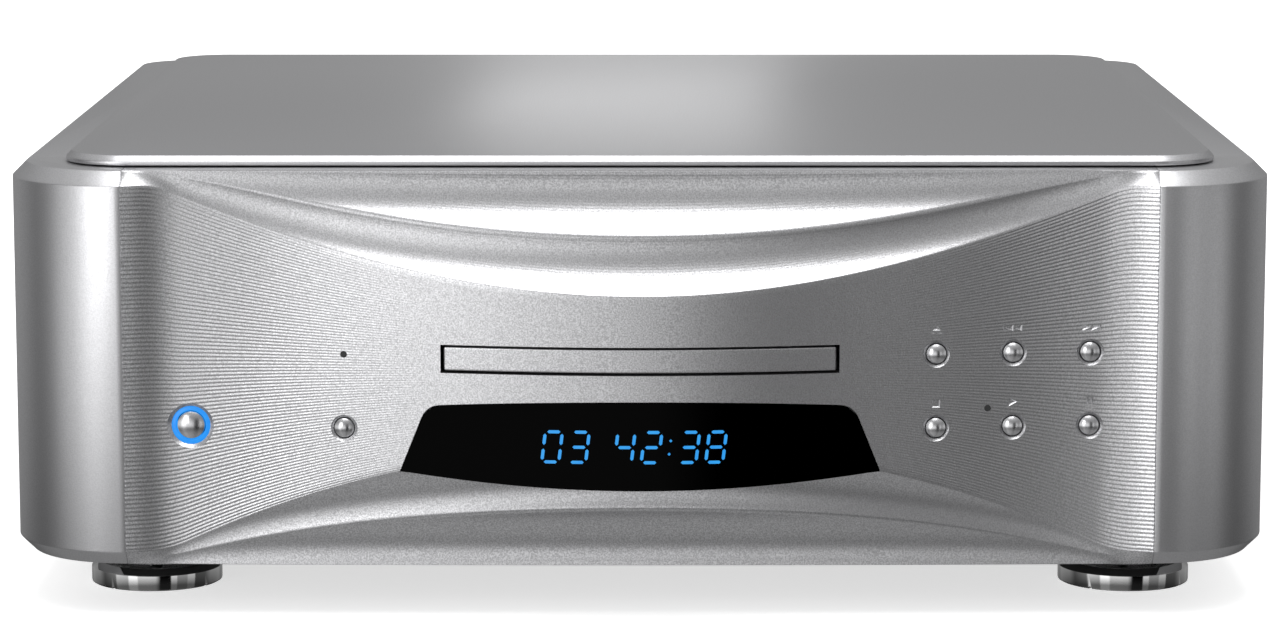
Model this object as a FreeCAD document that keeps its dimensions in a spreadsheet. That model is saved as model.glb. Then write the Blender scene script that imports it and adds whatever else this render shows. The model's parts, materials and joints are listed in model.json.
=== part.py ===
import FreeCAD, Part
import math
import os
import Sketcher
from FreeCAD import Placement, Rotation, Vector

# Disc player with a sculpted front panel, a sliding disc tray and its playing mechanism.
# Millimetres, +Z up, the front faces -Y, and the origin lies under the middle of the feet.
# Depths written as back(...) are measured backwards from the plane of the two front seams.

doc = FreeCAD.newDocument("disc_player")
sheet = doc.addObject("Spreadsheet::Sheet", "Sizes")


class Size:
    """A length that carries its number and the expression that gives it."""

    def __init__(self, number, words):
        self.number = number
        self.words = words

    def __float__(self):
        return float(self.number)

    def __add__(self, other):
        return Size(float(self) + float(other), f"({self.words} + {words_of(other)})")

    def __radd__(self, other):
        return Size(float(other) + float(self), f"({words_of(other)} + {self.words})")

    def __sub__(self, other):
        return Size(float(self) - float(other), f"({self.words} - {words_of(other)})")

    def __rsub__(self, other):
        return Size(float(other) - float(self), f"({words_of(other)} - {self.words})")

    def __mul__(self, other):
        return Size(float(self) * float(other), f"({self.words} * {words_of(other)})")

    def __rmul__(self, other):
        return self * other

    def __truediv__(self, other):
        return Size(float(self) / float(other), f"({self.words} / {words_of(other)})")

    def __neg__(self):
        return Size(-float(self), f"(0 - {self.words})")


def words_of(value):
    return value.words if isinstance(value, Size) else f"{float(value):.6f}"


def size(alias, number):
    """Write one driving size in the sheet and return it."""
    size.row += 1
    sheet.set(f"A{size.row}", alias)
    sheet.set(f"B{size.row}", str(number))
    sheet.setAlias(f"B{size.row}", alias)
    return Size(number, f"Sizes.{alias}")


size.row = 0

# Casing
fascia_width = size("fascia_width", 360)
corner_width = size("corner_width", 42.5)
corner_tail = size("corner_tail", 5.5)
body_depth = size("body_depth", 433)
body_height = size("body_height", 139)
foot_height = size("foot_height", 19)
edge_chamfer = size("edge_chamfer", 5)
side_wall = size("side_wall", 8)
flange_thickness = size("flange_thickness", 5)
rear_radius = size("rear_radius", 27)
rear_recess = size("rear_recess", 14)
rear_panel_thickness = size("rear_panel_thickness", 3)

# Front panel: its edges are measured from the top and the underside of the casing
fascia_back = size("fascia_back", 22)
front_bulge = size("front_bulge", 14)
front_valley = size("front_valley", 4)
valley_margin = size("valley_margin", 20)
cove_radius = size("cove_radius", 25)
upper_edge_drop = size("upper_edge_drop", 41.4)
lower_edge_rise = size("lower_edge_rise", 44.9)
sill_setback = size("sill_setback", 2)
subframe_gap = size("subframe_gap", 1)
subframe_thickness = size("subframe_thickness", 4)

# Floating top plate
top_plate_margin = size("top_plate_margin", 19.5)
top_plate_setback = size("top_plate_setback", 15)
top_plate_rear_margin = size("top_plate_rear_margin", 21)
top_plate_thickness = size("top_plate_thickness", 3.4)
top_plate_gap = size("top_plate_gap", 0.6)
top_plate_radius = size("top_plate_radius", 23)
top_plate_chamfer = size("top_plate_chamfer", 2)
spacer_radius = size("spacer_radius", 10)
spacer_margin = size("spacer_margin", 30)

# Display window, with heights above the casing's underside
window_rise = size("window_rise", 29.5)
window_corner_rise = size("window_corner_rise", 5.4)
window_height = size("window_height", 31.1)
window_bow = size("window_bow", 2.3)
window_top_half = size("window_top_half", 74)
window_low_half = size("window_low_half", 83.5)
window_corner_radius = size("window_corner_radius", 5)
window_back = size("window_back", 2)
window_gap = size("window_gap", 0.15)
display_margin = size("display_margin", 14)
display_depth = size("display_depth", 8)

# Buttons, in columns from the panel's ends
button_radius = size("button_radius", 3.5)
button_crown = size("button_crown", 1.3)
button_stand = size("button_stand", 0.5)
button_bevel_radius = size("button_bevel_radius", 4.85)
button_gap = size("button_gap", 0.3)
button_travel = size("button_travel", 1)
lower_row_rise = size("lower_row_rise", 49.5)
row_pitch = size("row_pitch", 26)
column_margin = size("column_margin", 23)
column_pitch = size("column_pitch", 27)
standby_radius = size("standby_radius", 4.8)
standby_recess_radius = size("standby_recess_radius", 8.25)
standby_recess_depth = size("standby_recess_depth", 1.2)
light_ring_radius = size("light_ring_radius", 6.8)
light_ring_depth = size("light_ring_depth", 4)
lamp_radius = size("lamp_radius", 1.2)
lamp_recess = size("lamp_recess", 0.3)
play_lamp_offset = size("play_lamp_offset", 8.8)
play_lamp_rise = size("play_lamp_rise", 6.6)
switch_height = size("switch_height", 3.2)
switch_half = size("switch_half", 3)
switch_stem_radius = size("switch_stem_radius", 1.7)
switch_board_margin = size("switch_board_margin", 13)

# Feet
foot_radius = size("foot_radius", 23.8)
foot_saucer_height = size("foot_saucer_height", 8)
foot_saucer_floor = size("foot_saucer_floor", 4)
foot_saucer_chamfer = size("foot_saucer_chamfer", 2.3)
foot_collar_radius = size("foot_collar_radius", 20)
foot_collar_gap = size("foot_collar_gap", 1)
foot_spike_radius = size("foot_spike_radius", 8)
foot_edge = size("foot_edge", 0.8)
foot_side_margin = size("foot_side_margin", 45.5)
foot_end_margin = size("foot_end_margin", 70)

# Loader
disc_radius = size("disc_radius", 60)
disc_thickness = size("disc_thickness", 1.2)
disc_front_margin = size("disc_front_margin", 12)
tray_rim = size("tray_rim", 6)
tray_side_gap = size("tray_side_gap", 3.1)
slot_rise = size("slot_rise", 69.9)
tray_lift = size("tray_lift", 1.8)
tray_thickness = size("tray_thickness", 6.5)
tray_roof_gap = size("tray_roof_gap", 1.6)
door_gap = size("door_gap", 1)
door_back = size("door_back", 3)
tray_tail = size("tray_tail", 124)
tray_channel_depth = size("tray_channel_depth", 3.6)
tray_channel_lead = size("tray_channel_lead", 22)
disc_recess = size("disc_recess", 2)
disc_play = size("disc_play", 0.75)
small_disc_radius = size("small_disc_radius", 40)
small_disc_recess = size("small_disc_recess", 1)
running_gap = size("running_gap", 0.3)
rail_start = size("rail_start", 30)
rail_tail = size("rail_tail", 8)
rail_gap = size("rail_gap", 0.4)
rail_wall = size("rail_wall", 4.6)
rail_lip = size("rail_lip", 5)
rail_shelf = size("rail_shelf", 7)
deck_drop = size("deck_drop", 22.7)
deck_thickness = size("deck_thickness", 4)
pillar_radius = size("pillar_radius", 7)
bush_height = size("bush_height", 6)
gear_pitch_radius = size("gear_pitch_radius", 8)
gear_teeth = 16
gear_height = size("gear_height", 2.8)
rack_margin = size("rack_margin", 12)
rack_back = size("rack_back", 4)
pinion_depth = size("pinion_depth", 46)
pinion_post_radius = size("pinion_post_radius", 1.5)
pulley_radius = size("pulley_radius", 14)
motor_pulley_radius = size("motor_pulley_radius", 3.75)
pulley_rim = size("pulley_rim", 1)
pulley_lift = size("pulley_lift", 2)
belt_thickness = size("belt_thickness", 1.2)
tray_motor_offset = size("tray_motor_offset", 8)
tray_motor_radius = size("tray_motor_radius", 12)
tray_motor_length = size("tray_motor_length", 17)

# Traverse that carries the turntable and the pickup
traverse_lead = size("traverse_lead", 15)
sled_lead = size("sled_lead", 15)
sled_room = size("sled_room", 59)
pivot_margin = size("pivot_margin", 12)
pivot_radius = size("pivot_radius", 2)
traverse_tail = size("traverse_tail", 5)
traverse_drop = size("traverse_drop", 8.7)
traverse_thickness = size("traverse_thickness", 4)
traverse_half_width = size("traverse_half_width", 28)
traverse_gap = size("traverse_gap", 2)
turntable_radius = size("turntable_radius", 15)
disc_lift = size("disc_lift", 1.2)
spindle_radius = size("spindle_radius", 1.5)
spindle_motor_radius = size("spindle_motor_radius", 13)
spindle_motor_height = size("spindle_motor_height", 12)
rod_margin = size("rod_margin", 8)
rod_radius = size("rod_radius", 1.5)
screw_margin = size("screw_margin", 18)
sled_motor_radius = size("sled_motor_radius", 6)
sled_motor_length = size("sled_motor_length", 13)
sled_margin = size("sled_margin", 1)
sled_length = size("sled_length", 20)
clamp_radius = size("clamp_radius", 14)
clamp_neck_radius = size("clamp_neck_radius", 9)
bridge_length = size("bridge_length", 40)

# Power supply, boards and rear sockets
transformer_radius = size("transformer_radius", 42)
transformer_height = size("transformer_height", 44)
transformer_depth = size("transformer_depth", 100)
transformer_hole_radius = size("transformer_hole_radius", 12)
transformer_cap_radius = size("transformer_cap_radius", 20)
transformer_bolt_radius = size("transformer_bolt_radius", 4)
board_thickness = size("board_thickness", 1.6)
board_stand = size("board_stand", 8)
board_margin = size("board_margin", 6)
board_space = size("board_space", 8)
board_gap = size("board_gap", 12)
stand_radius = size("stand_radius", 3)
chip_width = size("chip_width", 24)
capacitor_radius = size("capacitor_radius", 15)
capacitor_height = size("capacitor_height", 40)
capacitor_space = size("capacitor_space", 4)
upper_socket_rise = size("upper_socket_rise", 86)
lower_socket_rise = size("lower_socket_rise", 40)
socket_margin = size("socket_margin", 72.5)
socket_pitch = size("socket_pitch", 40)
socket_seat = size("socket_seat", 2)
socket_tail = size("socket_tail", 10)
inlet_margin = size("inlet_margin", 62.5)
inlet_space = size("inlet_space", 40)
digital_pitch = size("digital_pitch", 30)
balanced_radius = size("balanced_radius", 12)
phono_radius = size("phono_radius", 4.15)
phono_length = size("phono_length", 9)
clock_socket_radius = size("clock_socket_radius", 4.8)
clock_socket_length = size("clock_socket_length", 10)
optical_half = size("optical_half", 5)
inlet_width = size("inlet_width", 27)
inlet_height = size("inlet_height", 20)
screw_head_radius = size("screw_head_radius", 2.8)

doc.recompute()

half_fascia = fascia_width / 2
half_body = half_fascia + corner_width
corner_length = corner_width + corner_tail
inner_half = half_body - rear_radius
seam = front_bulge - (body_depth + front_bulge) / 2
floor_top = foot_height + flange_thickness
deck_top = foot_height + body_height
first_column = half_fascia - column_margin - column_pitch * 2
second_column = half_fascia - column_margin - column_pitch
third_column = half_fascia - column_margin
lower_row = foot_height + lower_row_rise
upper_row = lower_row + row_pitch
window_bottom = foot_height + window_rise
window_corner_height = window_bottom + window_corner_rise
window_top = window_bottom + window_height
tray_half_width = disc_radius + tray_rim
slot_half = tray_half_width + tray_side_gap
slot_bottom = foot_height + slot_rise
tray_bottom = slot_bottom + tray_lift
tray_top = tray_bottom + tray_thickness
slot_top = tray_top + tray_roof_gap
disc_centre = disc_radius + disc_front_margin
tray_end = disc_centre + tray_tail
rail_end = tray_end + rail_tail
rail_half = tray_half_width + rail_gap
mechanism_half = rail_half + rail_wall
rack_pitch_line = tray_half_width - rack_margin
deck_height = tray_bottom - deck_drop
deck_upper = deck_height + deck_thickness
pulley_height = deck_upper + pulley_lift
traverse_front = disc_centre - traverse_lead
window_front = disc_centre + sled_lead
window_rear = window_front + sled_room
pivot_depth = window_rear + pivot_margin
traverse_bottom = tray_bottom - traverse_drop
traverse_top = traverse_bottom + traverse_thickness
traverse_middle = traverse_bottom + traverse_thickness / 2
sled_front = window_front + sled_margin
rod_offset = traverse_half_width - rod_margin
screw_offset = traverse_half_width - screw_margin
turntable_seat = tray_top - disc_recess + disc_lift


def back(distance):
    """The Y of a place that lies this far behind the seam plane."""
    return seam + distance


def bind(item, path, value):
    item.setExpression(path, words_of(value))


TURNS = {
    "z": Rotation(),
    "y": Rotation(Vector(1, 0, 0), -90),
    "x": Rotation(Vector(0, 1, 0), 90),
}


def place(item, position, axis="z"):
    item.Placement = Placement(Vector(), TURNS[axis])
    for letter, value in zip("xyz", position):
        bind(item, f"Placement.Base.{letter}", value)
    return item


def box(label, low, high):
    """A block between its lowest and its highest corner."""
    item = doc.addObject("Part::Box", label)
    for path, start, end in zip(("Length", "Width", "Height"), low, high):
        bind(item, path, end - start)
    return place(item, low)


def rod(label, radius, length, start, axis="z"):
    item = doc.addObject("Part::Cylinder", label)
    bind(item, "Radius", radius)
    bind(item, "Height", length)
    return place(item, start, axis)


def cone(label, first_radius, last_radius, length, start, axis="z"):
    item = doc.addObject("Part::Cone", label)
    bind(item, "Radius1", first_radius)
    bind(item, "Radius2", last_radius)
    bind(item, "Height", length)
    return place(item, start, axis)


def fuse(label, items):
    item = doc.addObject("Part::MultiFuse", label)
    item.Shapes = items
    return item


def group(label, items):
    item = doc.addObject("Part::Compound", label)
    item.Links = items
    return item


def cut(label, base, tools):
    item = doc.addObject("Part::Cut", label)
    item.Base = base
    item.Tool = tools[0] if len(tools) == 1 else fuse(f"{label}_tools", tools)
    return item


def common(label, first, second):
    item = doc.addObject("Part::MultiCommon", label)
    item.Shapes = [first, second]
    return item


def body(label):
    return doc.addObject("PartDesign::Body", label)


def sketch(owner, role, offset=0):
    """A sketch on one of the body's own origin planes, moved along its normal."""
    item = owner.newObject("Sketcher::SketchObject", f"{owner.Name}_sketch")
    plane = next(part for part in owner.Origin.OriginFeatures if part.Role == role)
    item.AttachmentSupport = [(plane, "")]
    item.MapMode = "FlatFace"
    bind(item, "AttachmentOffset.Base.z", offset)
    return item


def pin(item, geometry, point, x, y):
    """Fix one point of a sketch by its two bound distances from the sketch origin."""
    for kind, value in (("DistanceX", x), ("DistanceY", y)):
        number = float(value)
        index = item.addConstraint(Sketcher.Constraint(kind, -1, 1, geometry, point, number))
        if isinstance(value, Size):
            item.setExpression(f"Constraints[{index}]", value.words)


def polygon(item, corners):
    """A closed outline of straight lines through corners that are bound to the sheet."""
    first = item.GeometryCount
    points = [Vector(float(x), float(y), 0) for x, y in corners]
    count = len(points)
    for number in range(count):
        line = Part.LineSegment(points[number], points[(number + 1) % count])
        item.addGeometry(line, False)
    for number in range(count):
        following = first + (number + 1) % count
        item.addConstraint(Sketcher.Constraint("Coincident", first + number, 2, following, 1))
        pin(item, first + number, 1, *corners[number])


def rectangle(item, low, high):
    polygon(item, [low, (high[0], low[1]), high, (low[0], high[1])])


def pad(owner, profile, length, reverse=False):
    item = owner.newObject("PartDesign::Pad", f"{owner.Name}_pad")
    item.Profile = profile
    bind(item, "Length", length)
    item.Reversed = reverse
    return item


def turned(label, profile, position=(0, 0, 0), axis="z"):
    """A body turned on a lathe: its profile is given as radius and distance along the axis."""
    owner = body(label)
    drawing = sketch(owner, "XZ_Plane")
    polygon(drawing, profile)
    item = owner.newObject("PartDesign::Revolution", f"{label}_turn")
    item.Profile = drawing
    item.ReferenceAxis = (drawing, ["V_Axis"])
    item.Angle = 360
    return place(owner, position, axis)


def chosen_edges(item, test):
    """The names of the edges of a feature's shape that pass a test."""
    doc.recompute()
    return [f"Edge{n}" for n, edge in enumerate(item.Shape.Edges, 1) if test(edge)]


def dress(owner, kind, last, test, value):
    """A fillet or chamfer of a body on the edges that pass a test."""
    names = chosen_edges(last, test)
    item = owner.newObject(f"PartDesign::{kind}", f"{owner.Name}_{kind.lower()}")
    item.Base = (last, names)
    bind(item, "Radius" if kind == "Fillet" else "Size", value)
    return item


def upright(edge):
    box_of_edge = edge.BoundBox
    return box_of_edge.XLength < 1e-4 and box_of_edge.YLength < 1e-4 and box_of_edge.ZLength > 1


def at(value, target):
    return abs(float(value) - float(target)) < 1e-3


def level_with(height):
    """A test that passes edges which lie flat at a height."""
    def test(edge):
        return at(edge.BoundBox.ZMin, height) and at(edge.BoundBox.ZMax, height)
    return test


kept = {}


def keep(label, item):
    item.Label = label
    kept[label] = item
    return item


# Front panel: its face in plan, and the curves where the face meets the coves

RIDGE_SHARE = 0.483
RIDGE_SHARE_RISE = 0.45
LOWER_RIDGE_SHARE = 0.523
LOWER_RIDGE_DROP = 0.1
UPPER_BLEND = (0.911, 0.967)
LOWER_BLEND = (0.878, 0.965)
COVE_FLATTEST = 0.6


def face_back(x):
    """How far the face lies behind the seam plane at a distance from the middle."""
    reach = abs(x)
    valley = float(half_fascia - valley_margin)
    if reach <= valley:
        swell = float(front_bulge + front_valley) / 2
        return float(front_valley) - swell * (1 + math.cos(math.pi * reach / valley))
    share = (reach - valley) / float(valley_margin)
    return float(front_valley) * (1 - share * share)


def blended(x, blend):
    """The share of a curve's rise at x: a parabola that runs over into a level end."""
    share = abs(x) / float(half_fascia)
    start, end = blend
    if share <= start:
        return share * share / (start * end)
    if share >= end:
        return 1
    return 1 - (end - share) ** 2 / (end * (end - start))


def upper_edge(x):
    middle = float(deck_top - upper_edge_drop)
    return middle + float(upper_edge_drop - edge_chamfer) * blended(x, UPPER_BLEND)


def lower_edge(x):
    middle = float(foot_height + lower_edge_rise)
    return middle - float(lower_edge_rise - edge_chamfer) * blended(x, LOWER_BLEND)


def between(first, second, share):
    return first + (second - first) * share


def cove(first, second):
    """An arc that hollows the panel between two points of a section."""
    chord = second - first
    length = chord.Length
    radius = max(float(cove_radius), length * COVE_FLATTEST)
    depth = radius - math.sqrt(radius * radius - length * length / 4)
    normal = Vector(abs(chord.y), chord.x if chord.y < 0 else -chord.x, 0) / length
    return Part.Arc(first, between(first, second, 0.5) + normal * depth, second)


def section(x):
    """The panel's closed outline at x, as depth and height, from the top edge round to the back."""
    share = abs(x) / float(half_fascia)
    rear = float(seam + fascia_back)
    face = float(seam) + face_back(x)
    top = Vector(float(seam + edge_chamfer), float(deck_top), 0)
    sill = float(sill_setback) + float(edge_chamfer - sill_setback) * share ** 2
    bottom = Vector(float(seam) + sill, float(foot_height), 0)
    face_top = Vector(face, upper_edge(x), 0)
    face_low = Vector(face, lower_edge(x), 0)
    ridge = between(face_top, top, RIDGE_SHARE + RIDGE_SHARE_RISE * share ** 4)
    low_ridge = between(face_low, bottom, LOWER_RIDGE_SHARE - LOWER_RIDGE_DROP * share ** 2)
    back_low = Vector(rear, float(foot_height), 0)
    back_top = Vector(rear, float(deck_top), 0)
    return [
        cove(top, ridge),
        cove(ridge, face_top),
        Part.LineSegment(face_top, face_low),
        cove(face_low, low_ridge),
        cove(low_ridge, bottom),
        Part.LineSegment(bottom, back_low),
        Part.LineSegment(back_low, back_top),
        Part.LineSegment(back_top, top),
    ]


STATION_SHARES = (0, 0.25, 0.5, 0.7, 0.82, 0.9, 0.95, 1)
stations = [-share for share in reversed(STATION_SHARES[1:])] + list(STATION_SHARES)


def fixed(label, shape):
    """A piece whose curved shape is worked out here from the sheet's sizes."""
    item = doc.addObject("Part::Feature", label)
    item.Shape = shape
    return item


def panel_form():
    """The front panel as one smooth skin through its sections."""
    wires = []
    for share in stations:
        x = float(half_fascia) * share
        wire = Part.Wire([curve.toShape() for curve in section(x)])
        upright_turn = Rotation(Vector(0, 1, 0), Vector(0, 0, 1), Vector(1, 0, 0))
        wire.Placement = Placement(Vector(x, 0, 0), upright_turn)
        wires.append(wire)
    return fixed("panel_form", Part.makeLoft(wires, True, False, False))


FACE_STATIONS = 18


def bulge_form(label):
    """A block whose front follows the panel's face."""
    half = float(half_fascia)
    places = [half * (2 * number / FACE_STATIONS - 1) for number in range(FACE_STATIONS + 1)]
    front = [Vector(x, float(seam) + face_back(x), 0) for x in places]
    curve = Part.BSplineCurve()
    curve.interpolate(front)
    rear = float(seam + fascia_back)
    sides = [
        curve.toShape(),
        Part.makeLine(front[-1], Vector(half, rear, 0)),
        Part.makeLine(Vector(half, rear, 0), Vector(-half, rear, 0)),
        Part.makeLine(Vector(-half, rear, 0), front[0]),
    ]
    return fixed(label, Part.Face(Part.Wire(sides)).extrude(Vector(0, 0, float(deck_top))))


def window_outline(item, grow):
    """The display window's outline: bowed top and bottom, slanted sides and round upper corners."""
    top = float(window_top + grow)
    half = float(window_top_half + grow)
    radius = float(window_corner_radius)
    upper_right = Vector(half, top - float(window_bow), 0)
    low_right = Vector(float(window_low_half + grow), float(window_corner_height - grow), 0)
    slant = (low_right - upper_right).normalize()
    side_start = upper_right + slant * radius
    top_end = upper_right + Vector(-radius, 0.12 * radius, 0)
    round_middle = upper_right + Vector(-0.29 * radius, -0.23 * radius, 0)
    points = [top_end, round_middle, side_start, low_right]
    left = [Vector(-point.x, point.y, 0) for point in points]
    low_middle = Vector(0, float(window_bottom - grow), 0)
    item.addGeometry(Part.Arc(left[0], Vector(0, top, 0), top_end), False)
    item.addGeometry(Part.Arc(top_end, round_middle, side_start), False)
    item.addGeometry(Part.LineSegment(side_start, low_right), False)
    item.addGeometry(Part.Arc(low_right, low_middle, left[3]), False)
    item.addGeometry(Part.LineSegment(left[3], left[2]), False)
    item.addGeometry(Part.Arc(left[2], left[1], left[0]), False)


BUTTONS = {
    "mode_button": (-first_column, lower_row),
    "eject_button": (first_column, upper_row),
    "previous_button": (second_column, upper_row),
    "next_button": (third_column, upper_row),
    "stop_button": (first_column, lower_row),
    "play_button": (second_column, lower_row),
    "pause_button": (third_column, lower_row),
}
STANDBY = (-third_column, lower_row)
LAMPS = [(-first_column, upper_row), (second_column - play_lamp_offset, lower_row + play_lamp_rise)]


def face_at(x):
    """The Y of the panel's face at this X."""
    return back(face_back(float(x)))


def front_fascia():
    front = back(-front_bulge) - 1
    rear = back(fascia_back) + 1
    through = rear - front
    tools = [box("slot_cut", (-slot_half, front, slot_bottom), (slot_half, rear, slot_top))]
    pane = body("pane_cut")
    drawing = sketch(pane, "XZ_Plane", -front)
    window_outline(drawing, window_gap)
    pad(pane, drawing, back(window_back) - front, True)
    tools.append(pane)
    cavity_half = window_top_half - display_margin + 2
    tools.append(box("display_cavity", (-cavity_half, back(window_back) - 1, window_corner_height),
                     (cavity_half, rear, window_top - window_corner_radius)))
    bore = button_radius + button_gap
    spread = button_bevel_radius - bore
    for name, (x, z) in BUTTONS.items():
        tools.append(rod(f"{name}_bore", bore, through, (x, front, z), "y"))
        tools.append(cone(f"{name}_sink", button_bevel_radius + spread, bore, spread * 2,
                          (x, face_at(x) - spread, z), "y"))
    for number, (x, z) in enumerate(LAMPS):
        tools.append(rod(f"lamp_bore_{number}", lamp_radius, through, (x, front, z), "y"))
    x, z = STANDBY
    floor = face_at(x) + standby_recess_depth
    tools.append(rod("standby_bore", standby_radius + button_gap, through, (x, front, z), "y"))
    tools.append(rod("standby_recess", standby_recess_radius, floor - front, (x, front, z), "y"))
    tools.append(rod("ring_bore", light_ring_radius, floor + light_ring_depth - front, (x, front, z), "y"))
    keep("front_fascia", cut("front_fascia", panel_form(), tools))


def edge_on_outline(edge, height):
    """True for an edge at this height on the casing's outer outline, seen from above."""
    extent = edge.BoundBox
    if not (at(extent.ZMin, height) and at(extent.ZMax, height)):
        return False
    middle = edge.valueAt((edge.FirstParameter + edge.LastParameter) / 2)
    if at(abs(middle.x), half_body):
        return True
    return edge.Curve.TypeId == "Part::GeomCircle"


SLANT = math.sqrt(0.5)


def corner_plan(side):
    """A front corner block seen from above: a quarter circle between the seam and the side."""
    radius = float(corner_width)
    seam_point = Vector(side * float(half_fascia), float(seam), 0)
    side_point = Vector(side * float(half_body), float(back(corner_width)), 0)
    middle = Vector(side * (float(half_fascia) + radius * SLANT), float(seam) + radius * (1 - SLANT), 0)
    corners = [
        side_point,
        Vector(side * float(half_body), float(back(corner_length)), 0),
        Vector(side * float(inner_half), float(back(corner_length)), 0),
        Vector(side * float(inner_half), float(back(fascia_back)), 0),
        Vector(side * float(half_fascia), float(back(fascia_back)), 0),
        seam_point,
    ]
    edges = [Part.Arc(seam_point, middle, side_point).toShape()]
    edges += [Part.makeLine(a, b) for a, b in zip(corners, corners[1:])]
    return Part.Wire(edges)


def chamfered(shape, heights, setback):
    edges = []
    for height in heights:
        edges += [edge for edge in shape.Edges if edge_on_outline(edge, height)]
    return shape.makeChamfer(float(setback), edges)


def corner_blocks():
    for name, side in (("left_front_corner", -1), ("right_front_corner", 1)):
        block = Part.Face(corner_plan(side)).extrude(Vector(0, 0, float(body_height)))
        block.translate(Vector(0, 0, float(foot_height)))
        keep(name, fixed(name, chamfered(block, (foot_height, deck_top), edge_chamfer)))


def corner_reach(inset, rear_stop):
    """How far a rear corner arc, inset from the outside, reaches past its centre at the stop."""
    radius = float(rear_radius - inset)
    height = min(float(rear_radius - rear_stop), radius)
    return math.sqrt(radius * radius - height * height)


def side_plan(side, inset, rear_stop):
    """A side panel seen from above, or the hollow inside it when inset from the outside."""
    half = float(half_body - inset)
    radius = float(rear_radius - inset)
    centre = Vector(float(inner_half), float(back(body_depth - rear_radius)), 0)
    start = float(back(corner_length))
    stop = float(back(body_depth - rear_stop))
    turn = math.acos(corner_reach(inset, rear_stop) / radius)
    side_end = Vector(half, centre.y, 0)
    end = centre + Vector(math.cos(turn), math.sin(turn), 0) * radius
    middle = centre + Vector(math.cos(turn / 2), math.sin(turn / 2), 0) * radius
    points = [end, Vector(centre.x, stop, 0), Vector(centre.x, start, 0), Vector(half, start, 0), side_end]
    edges = [Part.Arc(side_end, middle, end).toShape()]
    edges += [Part.makeLine(a, b) for a, b in zip(points, points[1:]) if (b - a).Length > 1e-6]
    wire = Part.Wire(edges)
    return wire if side > 0 else wire.mirror(Vector(), Vector(1, 0, 0))


def side_panels():
    """Channel-shaped side panels: a wall with a flange above and below, round the rear corner."""
    for name, side in (("left_side_panel", -1), ("right_side_panel", 1)):
        solid = Part.Face(side_plan(side, 0, 0)).extrude(Vector(0, 0, float(body_height)))
        solid.translate(Vector(0, 0, float(foot_height)))
        solid = chamfered(solid, (foot_height, deck_top), edge_chamfer)
        inside = Vector(0, 0, float(body_height - flange_thickness * 2))
        hollow = Part.Face(side_plan(side, side_wall, rear_recess)).extrude(inside)
        hollow.translate(Vector(0, 0, float(floor_top)))
        keep(name, fixed(name, solid.cut(hollow)))


REAR_Y = back(body_depth - rear_recess)


SPACER_ROWS = (0.12, 0.5, 0.88)


def plates():
    start = back(fascia_back)
    end = back(body_depth)
    keep("bottom_plate", box("bottom_plate", (-inner_half, start, foot_height), (inner_half, end, floor_top)))
    keep("top_deck", box("top_deck", (-inner_half, start, deck_top - flange_thickness),
                         (inner_half, end, deck_top)))


def floating_top():
    """The top plate with its rounded corners and bevelled rim, on low spacers."""
    half = half_body - top_plate_margin
    start = back(top_plate_setback)
    length = body_depth - top_plate_setback - top_plate_rear_margin
    low = deck_top + top_plate_gap
    owner = body("top_plate")
    drawing = sketch(owner, "XY_Plane", low)
    rectangle(drawing, (-half, start), (half, start + length))
    last = pad(owner, drawing, top_plate_thickness)
    last = dress(owner, "Fillet", last, upright, top_plate_radius)
    dress(owner, "Chamfer", last, level_with(low + top_plate_thickness), top_plate_chamfer)
    keep("top_plate", owner)
    spacers = []
    for side in (-1, 1):
        for row in SPACER_ROWS:
            spot = (side * (half - spacer_margin), start + length * row, deck_top)
            spacers.append(rod(f"spacer_{len(spacers)}", spacer_radius, top_plate_gap, spot))
    keep("top_plate_spacers", group("top_plate_spacers", spacers))


def subframe():
    """An upright plate behind the front panel, open for the tray and for the buttons."""
    front = back(fascia_back + subframe_gap)
    rear = front + subframe_thickness
    half = inner_half - board_margin
    plate = box("subframe_plate", (-half, front, floor_top), (half, rear, deck_top - flange_thickness))
    reach_x = slot_half + 3
    holes = [box("subframe_slot", (-reach_x, front - 1, deck_height - 4),
                 (reach_x, rear + 1, slot_top + 12))]
    reach = column_pitch + 15
    for side in (-1, 1):
        low = (side * second_column - reach, front - 1, lower_row - 10)
        high = (side * second_column + reach, rear + 1, upper_row + 10)
        holes.append(box(f"subframe_side_{side + 1}", low, high))
    keep("front_subframe", cut("front_subframe", plate, holes))


def window_and_display():
    front = back(-front_bulge) - 1
    pane = body("window_prism")
    drawing = sketch(pane, "XZ_Plane", -front)
    window_outline(drawing, Size(0, "0"))
    pad(pane, drawing, back(window_back) - front, True)
    keep("display_window", common("display_window", pane, bulge_form("window_face")))
    half = window_top_half - display_margin
    low = window_corner_height + 2
    high = window_top - window_corner_radius - 2
    rear = back(window_back) + display_depth
    glass = box("display_glass", (-half, back(window_back) + running_gap, low), (half, rear, high))
    board = box("display_board", (-half - 1, rear, low - 1), (half + 1, rear + board_thickness, high + 1))
    keep("display_module", fuse("display_module", [glass, board]))


def domed(label, radius, length, position):
    """A button with a round crown at its front and a plain stem that reaches back."""
    x, y, z = position
    ball_radius = (radius * radius + button_crown * button_crown) / (button_crown * 2)
    ball = doc.addObject("Part::Sphere", f"{label}_ball")
    bind(ball, "Radius", ball_radius)
    place(ball, (x, y + ball_radius, z))
    slab = rod(f"{label}_slab", radius + 1, button_crown, position, "y")
    stem = rod(f"{label}_stem", radius, length - button_crown, (x, y + button_crown, z), "y")
    return fuse(label, [common(f"{label}_crown", ball, slab), stem])


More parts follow.
